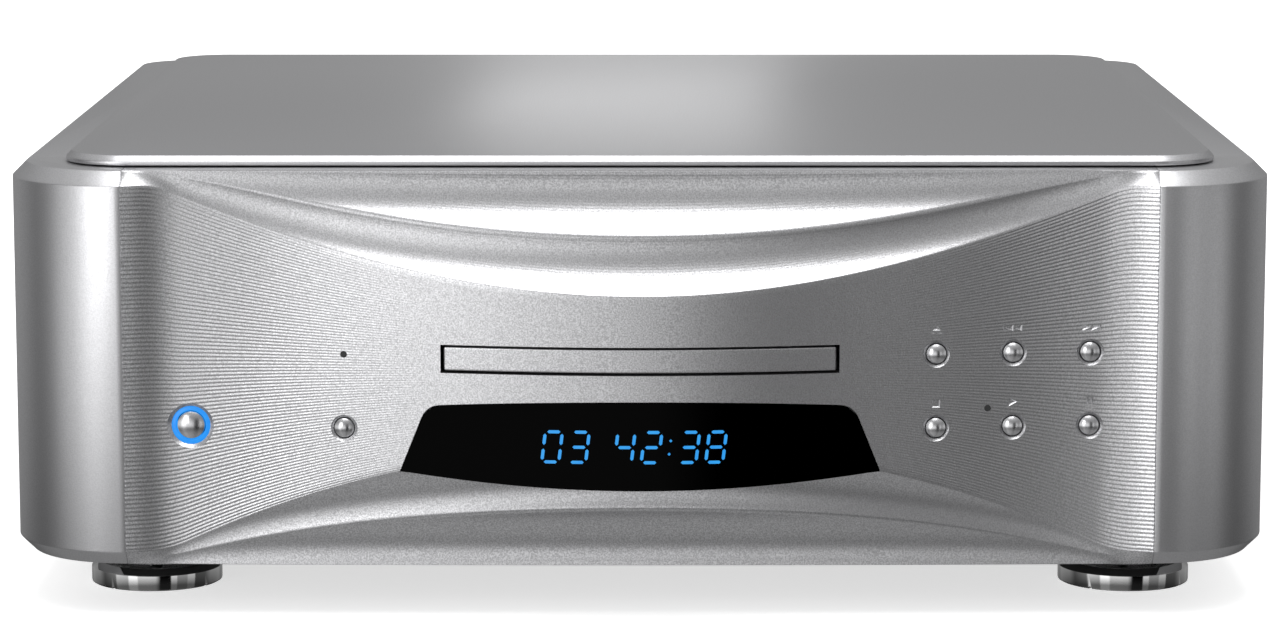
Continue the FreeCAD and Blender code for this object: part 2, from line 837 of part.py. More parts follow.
def buttons():
    """Domed buttons whose stems reach back through the panel to the switches."""
    stem_end = back(fascia_back + subframe_gap)
    for name, (x, z) in BUTTONS.items():
        start = face_at(x) - button_stand
        keep(name, domed(name, button_radius, stem_end - start, (x, start, z)))
    x, z = STANDBY
    start = face_at(x) + button_gap - button_stand
    keep("standby_button", domed("standby_button", standby_radius, stem_end - start, (x, start, z)))
    floor = face_at(x) + standby_recess_depth
    outer = rod("ring_outer", light_ring_radius, light_ring_depth, (x, floor, z), "y")
    inner = rod("ring_inner", standby_radius + button_gap, light_ring_depth, (x, floor, z), "y")
    keep("light_ring", cut("light_ring", outer, [inner]))
    lamps = []
    for number, (x, z) in enumerate(LAMPS):
        start = face_at(x) + lamp_recess
        lamps.append(rod(f"lamp_{number}", lamp_radius, back(fascia_back) - start, (x, start, z), "y"))
    keep("indicator_lamps", group("indicator_lamps", lamps))


def switch_boards():
    """Boards behind the subframe's side windows, with one small switch behind each button."""
    contact = back(fascia_back + subframe_gap) + button_travel + running_gap
    face = contact + switch_height
    stem_length = button_travel + running_gap
    half = column_pitch + 15
    for name, side in (("left_switch_board", -1), ("right_switch_board", 1)):
        low = (side * second_column - half, face, lower_row - switch_board_margin)
        high = (side * second_column + half, face + board_thickness, upper_row + switch_board_margin)
        pieces = [box(f"{name}_sheet", low, high)]
        places = [spot for spot in list(BUTTONS.values()) + [STANDBY] if float(spot[0]) * side > 0]
        for number, (x, z) in enumerate(places):
            low = (x - switch_half, contact + stem_length, z - switch_half)
            pieces.append(box(f"{name}_switch_{number}", low, (x + switch_half, face, z + switch_half)))
            pieces.append(rod(f"{name}_stem_{number}", switch_stem_radius, stem_length, (x, contact, z), "y"))
        keep(name, fuse(name, pieces))


def feet():
    """Four feet: a saucer on the shelf, a spike that stands in it and a knurled collar above."""
    side_x = half_body - foot_side_margin
    depths = (back(foot_end_margin), back(body_depth - foot_end_margin))
    places = [(side * side_x, depth) for depth in depths for side in (-1, 1)]
    rim = foot_radius - foot_saucer_chamfer
    saucer = [(0, 0), (foot_radius - foot_edge, 0), (foot_radius, foot_edge),
              (foot_radius, foot_saucer_height - foot_saucer_chamfer), (rim, foot_saucer_height),
              (rim - 2, foot_saucer_height), (rim - 4, foot_saucer_floor), (0, foot_saucer_floor)]
    spike = [(0, foot_saucer_floor), (1.2, foot_saucer_floor), (foot_spike_radius, foot_saucer_height + 0.6),
             (foot_spike_radius, foot_height), (0, foot_height)]
    low = foot_saucer_height + foot_collar_gap
    collar = [(foot_spike_radius, low), (foot_collar_radius - foot_edge, low),
              (foot_collar_radius, low + foot_edge), (foot_collar_radius, foot_height),
              (foot_spike_radius, foot_height)]
    for label, profile in (("foot_saucers", saucer), ("foot_spikes", spike), ("foot_collars", collar)):
        pieces = [turned(f"{label}_{number}", profile, (x, y, 0)) for number, (x, y) in enumerate(places)]
        keep(label, group(label, pieces))


def door_and_tray():
    """The tray with its disc recesses and openings, and the door on its front end."""
    low = slot_bottom + door_gap
    high = slot_top - door_gap * 0.8
    half = slot_half - door_gap * 1.2
    start = back(-door_back)
    block = box("door_block", (-half, back(-front_bulge) - 1, low), (half, start, high))
    keep("tray_door", common("tray_door", block, bulge_form("door_face")))
    top = tray_top
    plate = box("tray_plate", (-tray_half_width, start, tray_bottom), (tray_half_width, back(tray_end), top))
    centre_y = back(disc_centre)
    opening = turntable_radius + 3
    finger_reach = disc_radius * 0.72
    channel_low = (rack_pitch_line - gear_pitch_radius * 2 - 2, back(pinion_depth) - tray_channel_lead,
                   tray_bottom - 1)
    channel_high = (rack_pitch_line + rack_back, back(tray_end) + 1, tray_bottom + tray_channel_depth)
    tools = [
        rod("disc_recess", disc_radius + disc_play, disc_recess + 1, (0, centre_y, top - disc_recess)),
        rod("small_disc_recess", small_disc_radius + disc_play, disc_recess + small_disc_recess + 1,
            (0, centre_y, top - disc_recess - small_disc_recess)),
        rod("spindle_opening", opening, tray_thickness + 2, (0, centre_y, tray_bottom - 1)),
        box("pickup_opening", (-opening, centre_y, tray_bottom - 1), (opening, back(tray_end) + 1, top + 1)),
        box("rack_channel", channel_low, channel_high),
    ]
    for side in (-1, 1):
        tools.append(rod(f"finger_notch_{side + 1}", disc_front_margin - 1, 3.6,
                         (side * finger_reach, back(disc_front_margin) + 1, top - disc_recess - 0.6)))
    keep("disc_tray", cut("disc_tray", plate, tools))


TIP_MODULES = 0.9
ROOT_MODULES = 1.25
BACKLASH_MODULES = 0.35
PRESSURE_ANGLE = math.radians(20)
FLANK_STEPS = 3


def tooth_sizes():
    """The pitch, module, tip and root heights and free play that the rack and the pinion share."""
    module = 2 * float(gear_pitch_radius) / gear_teeth
    return math.pi * module, TIP_MODULES * module, ROOT_MODULES * module, BACKLASH_MODULES * module


def flank_half(radius):
    """Half the angle of a tooth at this radius, from an involute."""
    pitch, tip, root, play = tooth_sizes()
    pitch_radius = float(gear_pitch_radius)
    base = pitch_radius * math.cos(PRESSURE_ANGLE)

    def involute(r):
        angle = math.acos(min(base / r, 1))
        return math.tan(angle) - angle

    return (pitch / 4 - play / 2) / pitch_radius + involute(pitch_radius) - involute(radius)


def polygon_face(points, height):
    corners = [Vector(x, y, height) for x, y in points]
    return Part.Face(Part.makePolygon(corners + corners[:1]))


def rack_and_pinion():
    """A rack under the tray, and the pinion that drives it on its own belt pulley."""
    pitch, tip, root, play = tooth_sizes()
    line = float(rack_pitch_line)
    low = float(tray_bottom + running_gap)
    start = float(back(pinion_depth)) - 3.5 * pitch
    count = int(float(tray_end - pinion_depth) / pitch) + 3
    spread = math.tan(PRESSURE_ANGLE)
    tip_half = pitch / 4 - tip * spread - play / 2
    root_half = pitch / 4 + root * spread - play / 2
    points = []
    for number in range(count):
        y = start + number * pitch
        points += [(line + root, y - root_half), (line - tip, y - tip_half),
                   (line - tip, y + tip_half), (line + root, y + root_half)]
    wall = line + float(rack_back)
    points += [(wall, start + (count - 0.5) * pitch), (wall, start - pitch / 2)]
    up = Vector(0, 0, float(gear_height))
    keep("tray_rack", fixed("tray_rack", polygon_face(points, low).extrude(up)))

    centre = Vector(line - float(gear_pitch_radius), float(back(pinion_depth)), 0)
    lowest = float(gear_pitch_radius) - root
    radii = [lowest + (tip + root) * step / FLANK_STEPS for step in range(FLANK_STEPS + 1)]
    points = []
    for number in range(gear_teeth):
        middle = 2 * math.pi * number / gear_teeth
        flank = [(radius, middle - flank_half(radius)) for radius in radii]
        flank += [(radius, middle + flank_half(radius)) for radius in reversed(radii)]
        points += [(centre.x + r * math.cos(a), centre.y + r * math.sin(a)) for r, a in flank]
    wheel = polygon_face(points, low).extrude(up)
    pulley_low = float(pulley_height)
    hub_top = low + float(gear_height)
    hub_foot = centre + Vector(0, 0, pulley_low)
    hub = Part.makeCylinder(float(gear_pitch_radius) / 2, hub_top - pulley_low, hub_foot)
    outline = [Vector(float(r), 0, float(z)) for r, z in pulley_profile(pulley_radius)]
    pulley = Part.Face(Part.makePolygon(outline + outline[:1])).revolve(Vector(), Vector(0, 0, 1), 360)
    pulley.translate(centre)
    bore_radius = float(pinion_post_radius) + SHAFT_PLAY
    bore = Part.makeCylinder(bore_radius, hub_top - pulley_low + 2, centre + Vector(0, 0, pulley_low - 1))
    keep("tray_pinion", fixed("tray_pinion", wheel.fuse([hub, pulley]).cut(bore).removeSplitter()))


SHAFT_PLAY = 0.05
PULLEY_WIDTH = 3.4
GROOVE_LOW = 0.8
GROOVE_HIGH = 2.6


def pulley_profile(radius):
    """A flat belt pulley: its groove lies one belt thickness below its radius."""
    low = pulley_height
    rim = radius + pulley_rim
    floor = radius - belt_thickness
    return [(0, low), (rim, low), (rim, low + GROOVE_LOW - running_gap), (floor, low + GROOVE_LOW),
            (floor, low + GROOVE_HIGH), (rim, low + GROOVE_HIGH + running_gap), (rim, low + PULLEY_WIDTH),
            (0, low + PULLEY_WIDTH)]


def loader():
    """The deck under the tray, with the rails it runs in and the bearings of pinion and traverse."""
    start = back(rail_start)
    end = back(rail_end)
    inner = rail_half
    outer = mechanism_half
    shelf = tray_bottom - running_gap
    lip = tray_top + running_gap
    pieces = [box("loader_deck", (-outer, start, deck_height), (outer, end, deck_upper))]
    outline = [(outer, deck_upper), (outer, lip + 2), (inner - rail_lip, lip + 2), (inner - rail_lip, lip),
               (inner, lip), (inner, shelf), (inner - rail_shelf, shelf), (inner - rail_shelf, shelf - 4),
               (inner, shelf - 4), (inner, deck_upper)]
    for side in (-1, 1):
        owner = body(f"loader_rail_{side + 1}")
        drawing = sketch(owner, "XZ_Plane", -end)
        polygon(drawing, [(side * x, z) for x, z in outline])
        pad(owner, drawing, end - start)
        pieces.append(owner)
    bearing = pivot_radius * 3
    near = traverse_half_width + traverse_gap
    for side in (-1, 1):
        edges = sorted((side * near, side * (near + bearing)), key=float)
        pieces.append(box(f"pivot_block_{side + 1}", (edges[0], back(pivot_depth) - bearing, deck_upper),
                          (edges[1], back(pivot_depth) + bearing, traverse_middle + pivot_radius + 3)))
    post_top = tray_bottom + running_gap + gear_height - 0.1
    post_x = rack_pitch_line - gear_pitch_radius
    pieces.append(rod("pinion_post", pinion_post_radius, post_top - deck_upper,
                      (post_x, back(pinion_depth), deck_upper)))
    tools = [box("traverse_well", (-near, back(traverse_front) - traverse_gap, deck_height - 1),
                 (near, back(pivot_depth) + 16, deck_upper + 1)),
             rod("pivot_bore", pivot_radius + SHAFT_PLAY, outer * 2,
                 (-outer, back(pivot_depth), traverse_middle), "x"),
             rod("motor_shaft_hole", MOTOR_COLLAR + 1, deck_thickness + 2,
                 (tray_motor_offset, back(pinion_depth), deck_height - 1))]
    keep("mechanism_base", cut("mechanism_base", fuse("mechanism_blocks", pieces), tools))
    edge = pillar_radius + 1
    places = [(side * (outer - edge), depth) for side in (-1, 1) for depth in (start + edge, end - edge)]
    pillar_height = deck_height - bush_height - floor_top
    pillars = [rod(f"pillar_{n}", pillar_radius, pillar_height, (x, y, floor_top))
               for n, (x, y) in enumerate(places)]
    keep("mechanism_pillars", group("mechanism_pillars", pillars))
    bushes = [rod(f"bush_{n}", pillar_radius - 1, bush_height, (x, y, deck_height - bush_height))
              for n, (x, y) in enumerate(places)]
    keep("isolation_bushes", group("isolation_bushes", bushes))


def clamp_and_bridge():
    """A bridge across the rails, and the clamp that hangs in it above the turntable."""
    centre_y = back(disc_centre)
    inner = rail_half
    outer = mechanism_half
    foot = tray_top + running_gap + 2
    low = foot + 1.7
    high = low + 2
    owner = body("bridge_bar")
    drawing = sketch(owner, "XZ_Plane", -(centre_y + bridge_length / 2))
    polygon(drawing, [(-outer, foot), (-outer, high), (outer, high), (outer, foot), (inner - rail_lip, foot),
                      (inner - rail_shelf, low), (-inner + rail_shelf, low), (-inner + rail_lip, foot)])
    pad(owner, drawing, bridge_length)
    hole = rod("clamp_hole", clamp_neck_radius + 1, high - foot + 2, (0, centre_y, foot - 1))
    keep("clamp_bridge", cut("clamp_bridge", owner, [hole]))
    seat = turntable_seat + disc_thickness + running_gap
    flange = high + running_gap
    cap = clamp_neck_radius + 4
    top = flange + 1.8
    hollow = clamp_neck_radius - 0.6
    keep("disc_clamp", turned("disc_clamp", [
        (hollow, seat), (clamp_radius, seat), (clamp_radius, seat + 2.2), (clamp_neck_radius, seat + 2.6),
        (clamp_neck_radius, flange), (cap, flange), (cap, top), (0, top), (0, flange - 0.2),
        (hollow, flange - 1.5)], (0, centre_y, 0)))


MOTOR_COLLAR = 3


def tray_drive():
    """The tray motor under the deck, its pulley and the belt to the pinion's pulley."""
    x = tray_motor_offset
    y = back(pinion_depth)
    can = rod("tray_motor_can", tray_motor_radius, tray_motor_length, (x, y, deck_height - tray_motor_length))
    collar_height = deck_thickness / 2
    collar = rod("tray_motor_collar", MOTOR_COLLAR, collar_height, (x, y, deck_height))
    keep("tray_motor", fuse("tray_motor", [can, collar]))
    shaft_low = deck_height + collar_height + running_gap
    profile = [(0, shaft_low), (1, shaft_low), (1, pulley_height)] + pulley_profile(motor_pulley_radius)[1:]
    keep("motor_pulley", turned("motor_pulley", profile, (x, y, 0)))
    other = rack_pitch_line - gear_pitch_radius
    keep("tray_belt", fixed("tray_belt", belt_shape(float(x), float(other), float(y))))


def belt_loop(first_x, second_x, y, first_radius, second_radius, low, high):
    """The filled outline of a belt round two pulleys of unlike radius."""
    distance = second_x - first_x
    lean = math.acos((second_radius - first_radius) / distance)
    points = []
    for sign in (1, -1):
        direction = Vector(-math.cos(lean), sign * math.sin(lean), 0)
        points.append((Vector(first_x, y, low) + direction * first_radius,
                       Vector(second_x, y, low) + direction * second_radius))
    left = Vector(first_x - first_radius, y, low)
    right = Vector(second_x + second_radius, y, low)
    edges = [Part.Arc(points[1][0], left, points[0][0]).toShape(), Part.makeLine(points[0][0], points[0][1]),
             Part.Arc(points[0][1], right, points[1][1]).toShape(), Part.makeLine(points[1][1], points[1][0])]
    return Part.Face(Part.Wire(edges)).extrude(Vector(0, 0, high - low))


def belt_shape(first_x, second_x, y):
    """The belt: it runs clear of both pulley grooves by a tenth of a millimetre."""
    thickness = float(belt_thickness)
    first = float(motor_pulley_radius) - thickness + 0.1
    second = float(pulley_radius) - thickness + 0.1
    low = float(pulley_height) + GROOVE_LOW + float(running_gap)
    high = float(pulley_height) + GROOVE_HIGH - float(running_gap)
    outer = belt_loop(first_x, second_x, y, first + thickness, second + thickness, low, high)
    return outer.cut(belt_loop(first_x, second_x, y, first, second, low - 1, high + 1))


def traverse():
    """The tilting frame with its rods, screw and sled motor, and the sled that the screw moves."""
    half = traverse_half_width
    middle = traverse_middle
    rear = back(pivot_depth) + traverse_tail
    plate = box("traverse_plate", (-half, back(traverse_front), traverse_bottom), (half, rear, traverse_top))
    pin_length = traverse_gap + traverse_tail
    pins = [rod("left_pivot", pivot_radius, pin_length, (-half - pin_length, back(pivot_depth), middle), "x"),
            rod("right_pivot", pivot_radius, pin_length, (half, back(pivot_depth), middle), "x")]
    rod_start = back(window_front) - 3
    rod_length = sled_room + 6
    motor_start = back(window_rear) + 4
    notch_half = sled_motor_radius + 2
    screw_start = (-screw_offset, rod_start, middle)
    tools = [box("sled_opening", (-half + 4, back(window_front), traverse_bottom - 1),
                 (half - 4, back(window_rear), traverse_top + 1)),
             box("sled_motor_notch", (-screw_offset - notch_half, motor_start, traverse_bottom - 1),
                 (-screw_offset + notch_half, rear + 1, traverse_top + 1)),
             rod("spindle_hole", 4, 10, (0, back(disc_centre), traverse_bottom - 3)),
             rod("screw_seat", rod_radius + SHAFT_PLAY, rod_length + 3, screw_start, "y")]
    for side in (-1, 1):
        start = (side * rod_offset, rod_start, middle)
        tools.append(rod(f"rod_seat_{side + 1}", rod_radius, rod_length, start, "y"))
    keep("traverse_frame", cut("traverse_frame", fuse("traverse_blocks", [plate] + pins), tools))
    rods = [rod(f"guide_rod_{side + 1}", rod_radius, rod_length, (side * rod_offset, rod_start, middle), "y")
            for side in (-1, 1)]
    keep("guide_rods", group("guide_rods", rods))
    keep("lead_screw", rod("lead_screw", rod_radius, rod_length + 0.5,
                           (-screw_offset, rod_start + running_gap, middle), "y"))
    keep("sled_motor", rod("sled_motor", sled_motor_radius, sled_motor_length,
                           (-screw_offset, motor_start + running_gap, middle), "y"))
    sled_top = traverse_top + 3
    sled = box("sled_block", (-half + 5, back(sled_front), traverse_bottom - 2),
               (half - 5, back(sled_front + sled_length), sled_top))
    bore_start = back(sled_front) - 1
    bores = [rod(f"sled_bore_{n}", rod_radius + SHAFT_PLAY, sled_length + 2, (x, bore_start, middle), "y")
             for n, x in enumerate((-rod_offset, rod_offset, -screw_offset))]
    keep("pickup_sled", cut("pickup_sled", sled, bores))
    lens = [(0, 0), (5.5, 0), (5.5, 1), (3.4, 1.4), (3.4, 2.6), (2.6, 2.9), (0, 3.2)]
    keep("pickup_lens", turned("pickup_lens", lens, (0, back(sled_front + sled_length / 2), sled_top)))


def spindle():
    centre_y = back(disc_centre)
    top = traverse_bottom
    low = top - spindle_motor_height
    can = [(0, low), (spindle_motor_radius - 1, low), (spindle_motor_radius, low + 1),
           (spindle_motor_radius, top), (0, top)]
    keep("spindle_motor", turned("spindle_motor", can, (0, centre_y, 0)))
    seat = turntable_seat
    hub = clamp_neck_radius - 1.5
    profile = [(0, top + running_gap), (spindle_radius, top + running_gap), (spindle_radius, seat - 6),
               (5, seat - 6), (5, seat - 2.2), (turntable_radius, seat - 2), (turntable_radius, seat),
               (hub, seat), (hub - 0.3, seat + disc_thickness), (4.5, seat + 3.4), (0, seat + 3.6)]
    keep("turntable", turned("turntable", profile, (0, centre_y, 0)))


SUPPLY_COLUMNS = 3
SUPPLY_ROWS = 2
CHIPS = 3


def board(name, low, high):
    """A circuit board on four stands, given by the corners of its sheet in X and Y."""
    height = floor_top + board_stand
    pieces = [box(f"{name}_sheet", (low[0], low[1], height), (high[0], high[1], height + board_thickness))]
    for x in (low[0] + board_margin, high[0] - board_margin):
        for y in (low[1] + board_margin, high[1] - board_margin):
            pieces.append(rod(f"{name}_stand_{len(pieces)}", stand_radius, board_stand, (x, y, floor_top)))
    return pieces


def toroid(name, x, y):
    """A ring transformer with its centre bolt and the cap that the bolt holds down."""
    outer = rod(f"{name}_winding", transformer_radius, transformer_height, (x, y, floor_top))
    hole = rod(f"{name}_hole", transformer_hole_radius, transformer_height + 2, (x, y, floor_top - 1))
    cap = rod(f"{name}_cap", transformer_cap_radius, 3, (x, y, floor_top + transformer_height))
    bolt = rod(f"{name}_bolt", transformer_bolt_radius, transformer_height, (x, y, floor_top))
    return fuse(name, [cut(f"{name}_ring", outer, [hole]), cap, bolt])


def electronics():
    """Two transformers at the front, and the boards behind them and behind the mechanism."""
    middle = (mechanism_half + inner_half) / 2
    toroids = [toroid(f"toroid_{side + 1}", side * middle, back(transformer_depth)) for side in (-1, 1)]
    keep("power_transformers", group("power_transformers", toroids))

    top = floor_top + board_stand + board_thickness
    rear = REAR_Y - rear_panel_thickness - board_gap
    outside = inner_half - board_margin
    inside = mechanism_half + board_space
    pitch = capacitor_radius * 2 + capacitor_space
    supply_start = back(transformer_depth) + transformer_radius + board_gap
    supply_end = supply_start + pitch * SUPPLY_ROWS + 2
    keep("power_supply_board", fuse("power_supply_board", board(
        "supply_board", (-outside, supply_start), (-inside, supply_end))))
    digital = board("digital_board", (inside, supply_start), (outside, rear))
    for number in range(CHIPS):
        x = inside + board_space * 2
        y = supply_start + chip_width * (1 + 2 * number)
        digital.append(box(f"chip_{number}", (x, y, top), (x + chip_width, y + chip_width, top + 3)))
    keep("digital_board", fuse("digital_board", digital))
    capacitors = []
    for column in range(SUPPLY_COLUMNS):
        for row in range(SUPPLY_ROWS):
            x = -outside + capacitor_radius + capacitor_space + pitch * column
            y = supply_start + capacitor_radius + capacitor_space / 2 + 1 + pitch * row
            name = f"capacitor_{len(capacitors)}"
            capacitors.append(rod(name, capacitor_radius, capacitor_height, (x, y, top)))
    keep("capacitor_bank", group("capacitor_bank", capacitors))
    centre_half = inside - board_space
    audio = board("left_audio", (-outside, supply_end + board_space), (-inside, rear))
    audio += board("centre_audio", (-centre_half, back(rail_end) + board_space), (centre_half, rear))
    keep("audio_boards", fuse("audio_boards", audio))


UPPER_SOCKETS = floor_top + upper_socket_rise
LOWER_SOCKETS = floor_top + lower_socket_rise
LEFT_SOCKET = -(half_body - socket_margin)
INLET_X = half_body - inlet_margin
GROUND_X = INLET_X - inlet_space
CLOCK_X = GROUND_X - digital_pitch
BALANCED = [(LEFT_SOCKET, UPPER_SOCKETS), (LEFT_SOCKET + socket_pitch, UPPER_SOCKETS)]
PHONO = [(LEFT_SOCKET, LOWER_SOCKETS), (LEFT_SOCKET + socket_pitch, LOWER_SOCKETS),
         (CLOCK_X - digital_pitch - socket_pitch, LOWER_SOCKETS), (CLOCK_X - socket_pitch, LOWER_SOCKETS)]
INLET_Z = LOWER_SOCKETS - 4
SEAT_GAP = 0.1


def rear_wall():
    """The rear panel with a hole for each socket."""
    half = inner_half + corner_reach(side_wall, rear_recess) - 1
    front = REAR_Y - rear_panel_thickness
    depth = rear_panel_thickness + 4
    wall = box("rear_sheet", (-half, front, floor_top), (half, REAR_Y, deck_top - flange_thickness))
    tools = []
    for number, (x, z) in enumerate(BALANCED):
        tools.append(rod(f"balanced_hole_{number}", balanced_radius, depth, (x, front - 2, z), "y"))
    for number, (x, z) in enumerate(PHONO):
        tools.append(rod(f"phono_hole_{number}", phono_radius + 0.85, depth, (x, front - 2, z), "y"))
    round_holes = (("clock_hole", clock_socket_radius + 0.6, CLOCK_X), ("ground_hole", 2.5, GROUND_X))
    for name, radius, x in round_holes:
        tools.append(rod(name, radius, depth, (x, front - 2, LOWER_SOCKETS), "y"))
    tools.append(box("inlet_hole", (INLET_X - inlet_width / 2, front - 2, INLET_Z - inlet_height / 2),
                     (INLET_X + inlet_width / 2, REAR_Y + 2, INLET_Z + inlet_height / 2)))
    tools.append(box("optical_hole", (CLOCK_X - optical_half, front - 2, UPPER_SOCKETS - optical_half),
                     (CLOCK_X + optical_half, REAR_Y + 2, UPPER_SOCKETS + optical_half)))
    keep("rear_panel", cut("rear_panel", wall, tools))


BALANCED_PINS = [(-4, -2.3), (4, -2.3), (0, 4.6)]


def balanced_sockets():
    front = REAR_Y - rear_panel_thickness
    sockets = []
    for number, (x, z) in enumerate(BALANCED):
        shell = rod(f"balanced_shell_{number}", balanced_radius - SEAT_GAP, 18, (x, front - 14, z), "y")
        plate = box(f"balanced_plate_{number}", (x - balanced_radius - 1, REAR_Y, z - balanced_radius - 3.5),
                    (x + balanced_radius + 1, REAR_Y + socket_seat, z + balanced_radius + 3.5))
        bore = rod(f"balanced_bore_{number}", balanced_radius - 3, 16, (x, front - 10, z), "y")
        pins = [rod(f"balanced_pin_{number}_{n}", 1.2, 9, (x + dx, front - 11, z + dz), "y")
                for n, (dx, dz) in enumerate(BALANCED_PINS)]
        socket = cut(f"balanced_socket_{number}", fuse(f"balanced_body_{number}", [shell, plate]), [bore])
        sockets.append(fuse(f"balanced_{number}", [socket] + pins))
    keep("balanced_sockets", group("balanced_sockets", sockets))


def round_sockets():
    """Phono sockets, the clock socket with its two lugs, and the ground terminal."""
    phono = []
    for number, (x, z) in enumerate(PHONO):
        start = (x, REAR_Y - socket_tail, z)
        barrel = rod(f"phono_barrel_{number}", phono_radius, socket_tail + phono_length, start, "y")
        nut = rod(f"phono_nut_{number}", phono_radius + 2.35, socket_seat, (x, REAR_Y, z), "y")
        bore = rod(f"phono_bore_{number}", 1.7, phono_length + 2, (x, REAR_Y, z), "y")
        phono.append(cut(f"phono_{number}", fuse(f"phono_body_{number}", [barrel, nut]), [bore]))
    keep("phono_sockets", group("phono_sockets", phono))

    spot = (CLOCK_X, REAR_Y, LOWER_SOCKETS)
    start = (CLOCK_X, REAR_Y - socket_tail, LOWER_SOCKETS)
    barrel = rod("clock_barrel", clock_socket_radius, socket_tail + clock_socket_length, start, "y")
    nut = rod("clock_nut", clock_socket_radius + 2.2, socket_seat, spot, "y")
    lug_reach = clock_socket_radius + 1.7
    lugs = rod("clock_lugs", 1, lug_reach * 2, (CLOCK_X - lug_reach, REAR_Y + 6, LOWER_SOCKETS), "x")
    mouth = (CLOCK_X, REAR_Y + socket_seat, LOWER_SOCKETS)
    bore = rod("clock_bore", clock_socket_radius - 1.2, 12, mouth, "y")
    pin_rod = rod("clock_pin", 0.8, 9, (CLOCK_X, REAR_Y + 1, LOWER_SOCKETS), "y")
    shell = cut("clock_shell", fuse("clock_body", [barrel, nut, lugs]), [bore])
    keep("clock_socket", fuse("clock_socket", [shell, pin_rod]))

    spot = (GROUND_X, REAR_Y, LOWER_SOCKETS)
    stud = rod("ground_stud", 2.4, 18, (GROUND_X, REAR_Y - 6, LOWER_SOCKETS), "y")
    knob = rod("ground_knob", 6, 6, (GROUND_X, REAR_Y + 4, LOWER_SOCKETS), "y")
    washer = rod("ground_washer", 5, 1.5, spot, "y")
    keep("ground_terminal", fuse("ground_terminal", [stud, knob, washer]))


MAINS_PINS = [(-7, -2), (0, 2.5), (7, -2)]


def square_sockets():
    """The optical port and the mains inlet."""
    front = REAR_Y - rear_panel_thickness
    x, z = CLOCK_X, UPPER_SOCKETS
    half = optical_half - SEAT_GAP
    housing = box("optical_housing", (x - half, front - 10, z - half), (x + half, REAR_Y + 1, z + half))
    mouth = box("optical_mouth", (x - half + 1.9, front - 2, z - half + 1.9),
                (x + half - 1.9, REAR_Y + 2, z + half - 1.9))
    keep("optical_port", cut("optical_port", housing, [mouth]))

    x, z = INLET_X, INLET_Z
    half_w = inlet_width / 2 - SEAT_GAP * 2
    half_h = inlet_height / 2 - SEAT_GAP * 2
    ear = 12
    housing = box("inlet_housing", (x - half_w, front - 18, z - half_h), (x + half_w, REAR_Y, z + half_h))
    plate = box("inlet_plate", (x - half_w - ear, REAR_Y, z - half_h - 3),
                (x + half_w + ear, REAR_Y + 2.5, z + half_h + 3))
    mouth = box("inlet_mouth", (x - half_w + 2, front - 14, z - half_h + 2),
                (x + half_w - 2, REAR_Y + 4, z + half_h - 2))
    pins = [box(f"inlet_pin_{n}", (x + dx - 1, front - 15, z + dz - 2), (x + dx + 1, REAR_Y - 5, z + dz + 2))
            for n, (dx, dz) in enumerate(MAINS_PINS)]
    socket = cut("inlet_socket", fuse("inlet_body", [housing, plate]), [mouth])
    keep("mains_inlet", fuse("mains_inlet", [socket] + pins))


def case_screws():
    inset = 8
    screws = []
    for x in (-inner_half + inset, 0, inner_half - inset):
        for z in (floor_top + inset, deck_top - flange_thickness - inset):
            screws.append(rod(f"rear_screw_{len(screws)}", screw_head_radius, 1.8, (x, REAR_Y, z), "y"))
    keep("case_screws", group("case_screws", screws))


front_fascia()
corner_blocks()
side_panels()
plates()
floating_top()
subframe()
window_and_display()
buttons()
switch_boards()
feet()
door_and_tray()
rack_and_pinion()
loader()
clamp_and_bridge()
tray_drive()
traverse()
spindle()
electronics()
rear_wall()
balanced_sockets()
round_sockets()
square_sockets()
case_screws()

doc.recompute()
failed = [item.Name for item in doc.Objects if "Invalid" in item.State or "Error" in item.State]
if failed:
    raise RuntimeError(f"These objects failed to build: {failed}")
for label, item in kept.items():
    if item.Shape.isNull() or not item.Shape.isValid() or item.Shape.Volume <= 0:
        raise RuntimeError(f"{label} has no valid shape")

os.makedirs("parts", exist_ok=True)
for label, item in kept.items():
    item.Shape.exportStep(f"parts/{label}.step")
print(len(kept), "sub-parts written")
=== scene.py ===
import json
import math

import bmesh
import bpy
from mathutils import Matrix, Vector

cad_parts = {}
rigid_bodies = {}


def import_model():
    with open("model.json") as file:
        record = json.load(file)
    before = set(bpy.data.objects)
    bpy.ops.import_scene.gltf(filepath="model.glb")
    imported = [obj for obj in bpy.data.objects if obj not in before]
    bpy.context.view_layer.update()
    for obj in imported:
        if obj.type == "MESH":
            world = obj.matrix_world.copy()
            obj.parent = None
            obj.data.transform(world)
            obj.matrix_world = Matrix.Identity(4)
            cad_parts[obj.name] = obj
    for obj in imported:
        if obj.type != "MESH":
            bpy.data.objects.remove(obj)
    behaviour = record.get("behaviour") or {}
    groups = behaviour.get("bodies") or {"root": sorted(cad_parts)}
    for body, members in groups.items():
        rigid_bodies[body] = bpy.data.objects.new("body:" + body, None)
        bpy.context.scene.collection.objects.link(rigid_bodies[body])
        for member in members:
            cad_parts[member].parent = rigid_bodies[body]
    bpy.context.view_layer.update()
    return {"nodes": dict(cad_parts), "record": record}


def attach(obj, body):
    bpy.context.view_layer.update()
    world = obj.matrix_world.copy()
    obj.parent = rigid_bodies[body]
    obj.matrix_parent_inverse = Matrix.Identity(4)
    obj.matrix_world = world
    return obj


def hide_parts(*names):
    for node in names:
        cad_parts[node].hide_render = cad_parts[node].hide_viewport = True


# A disc player with a sculpted aluminium front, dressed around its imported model.
# Metres, +Z up, the front faces -Y. Sizes below are in millimetres and go through mm().

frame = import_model()


def mm(value):
    return value / 1000


# The plane of the two front seams, and the sizes of the sculpted front panel

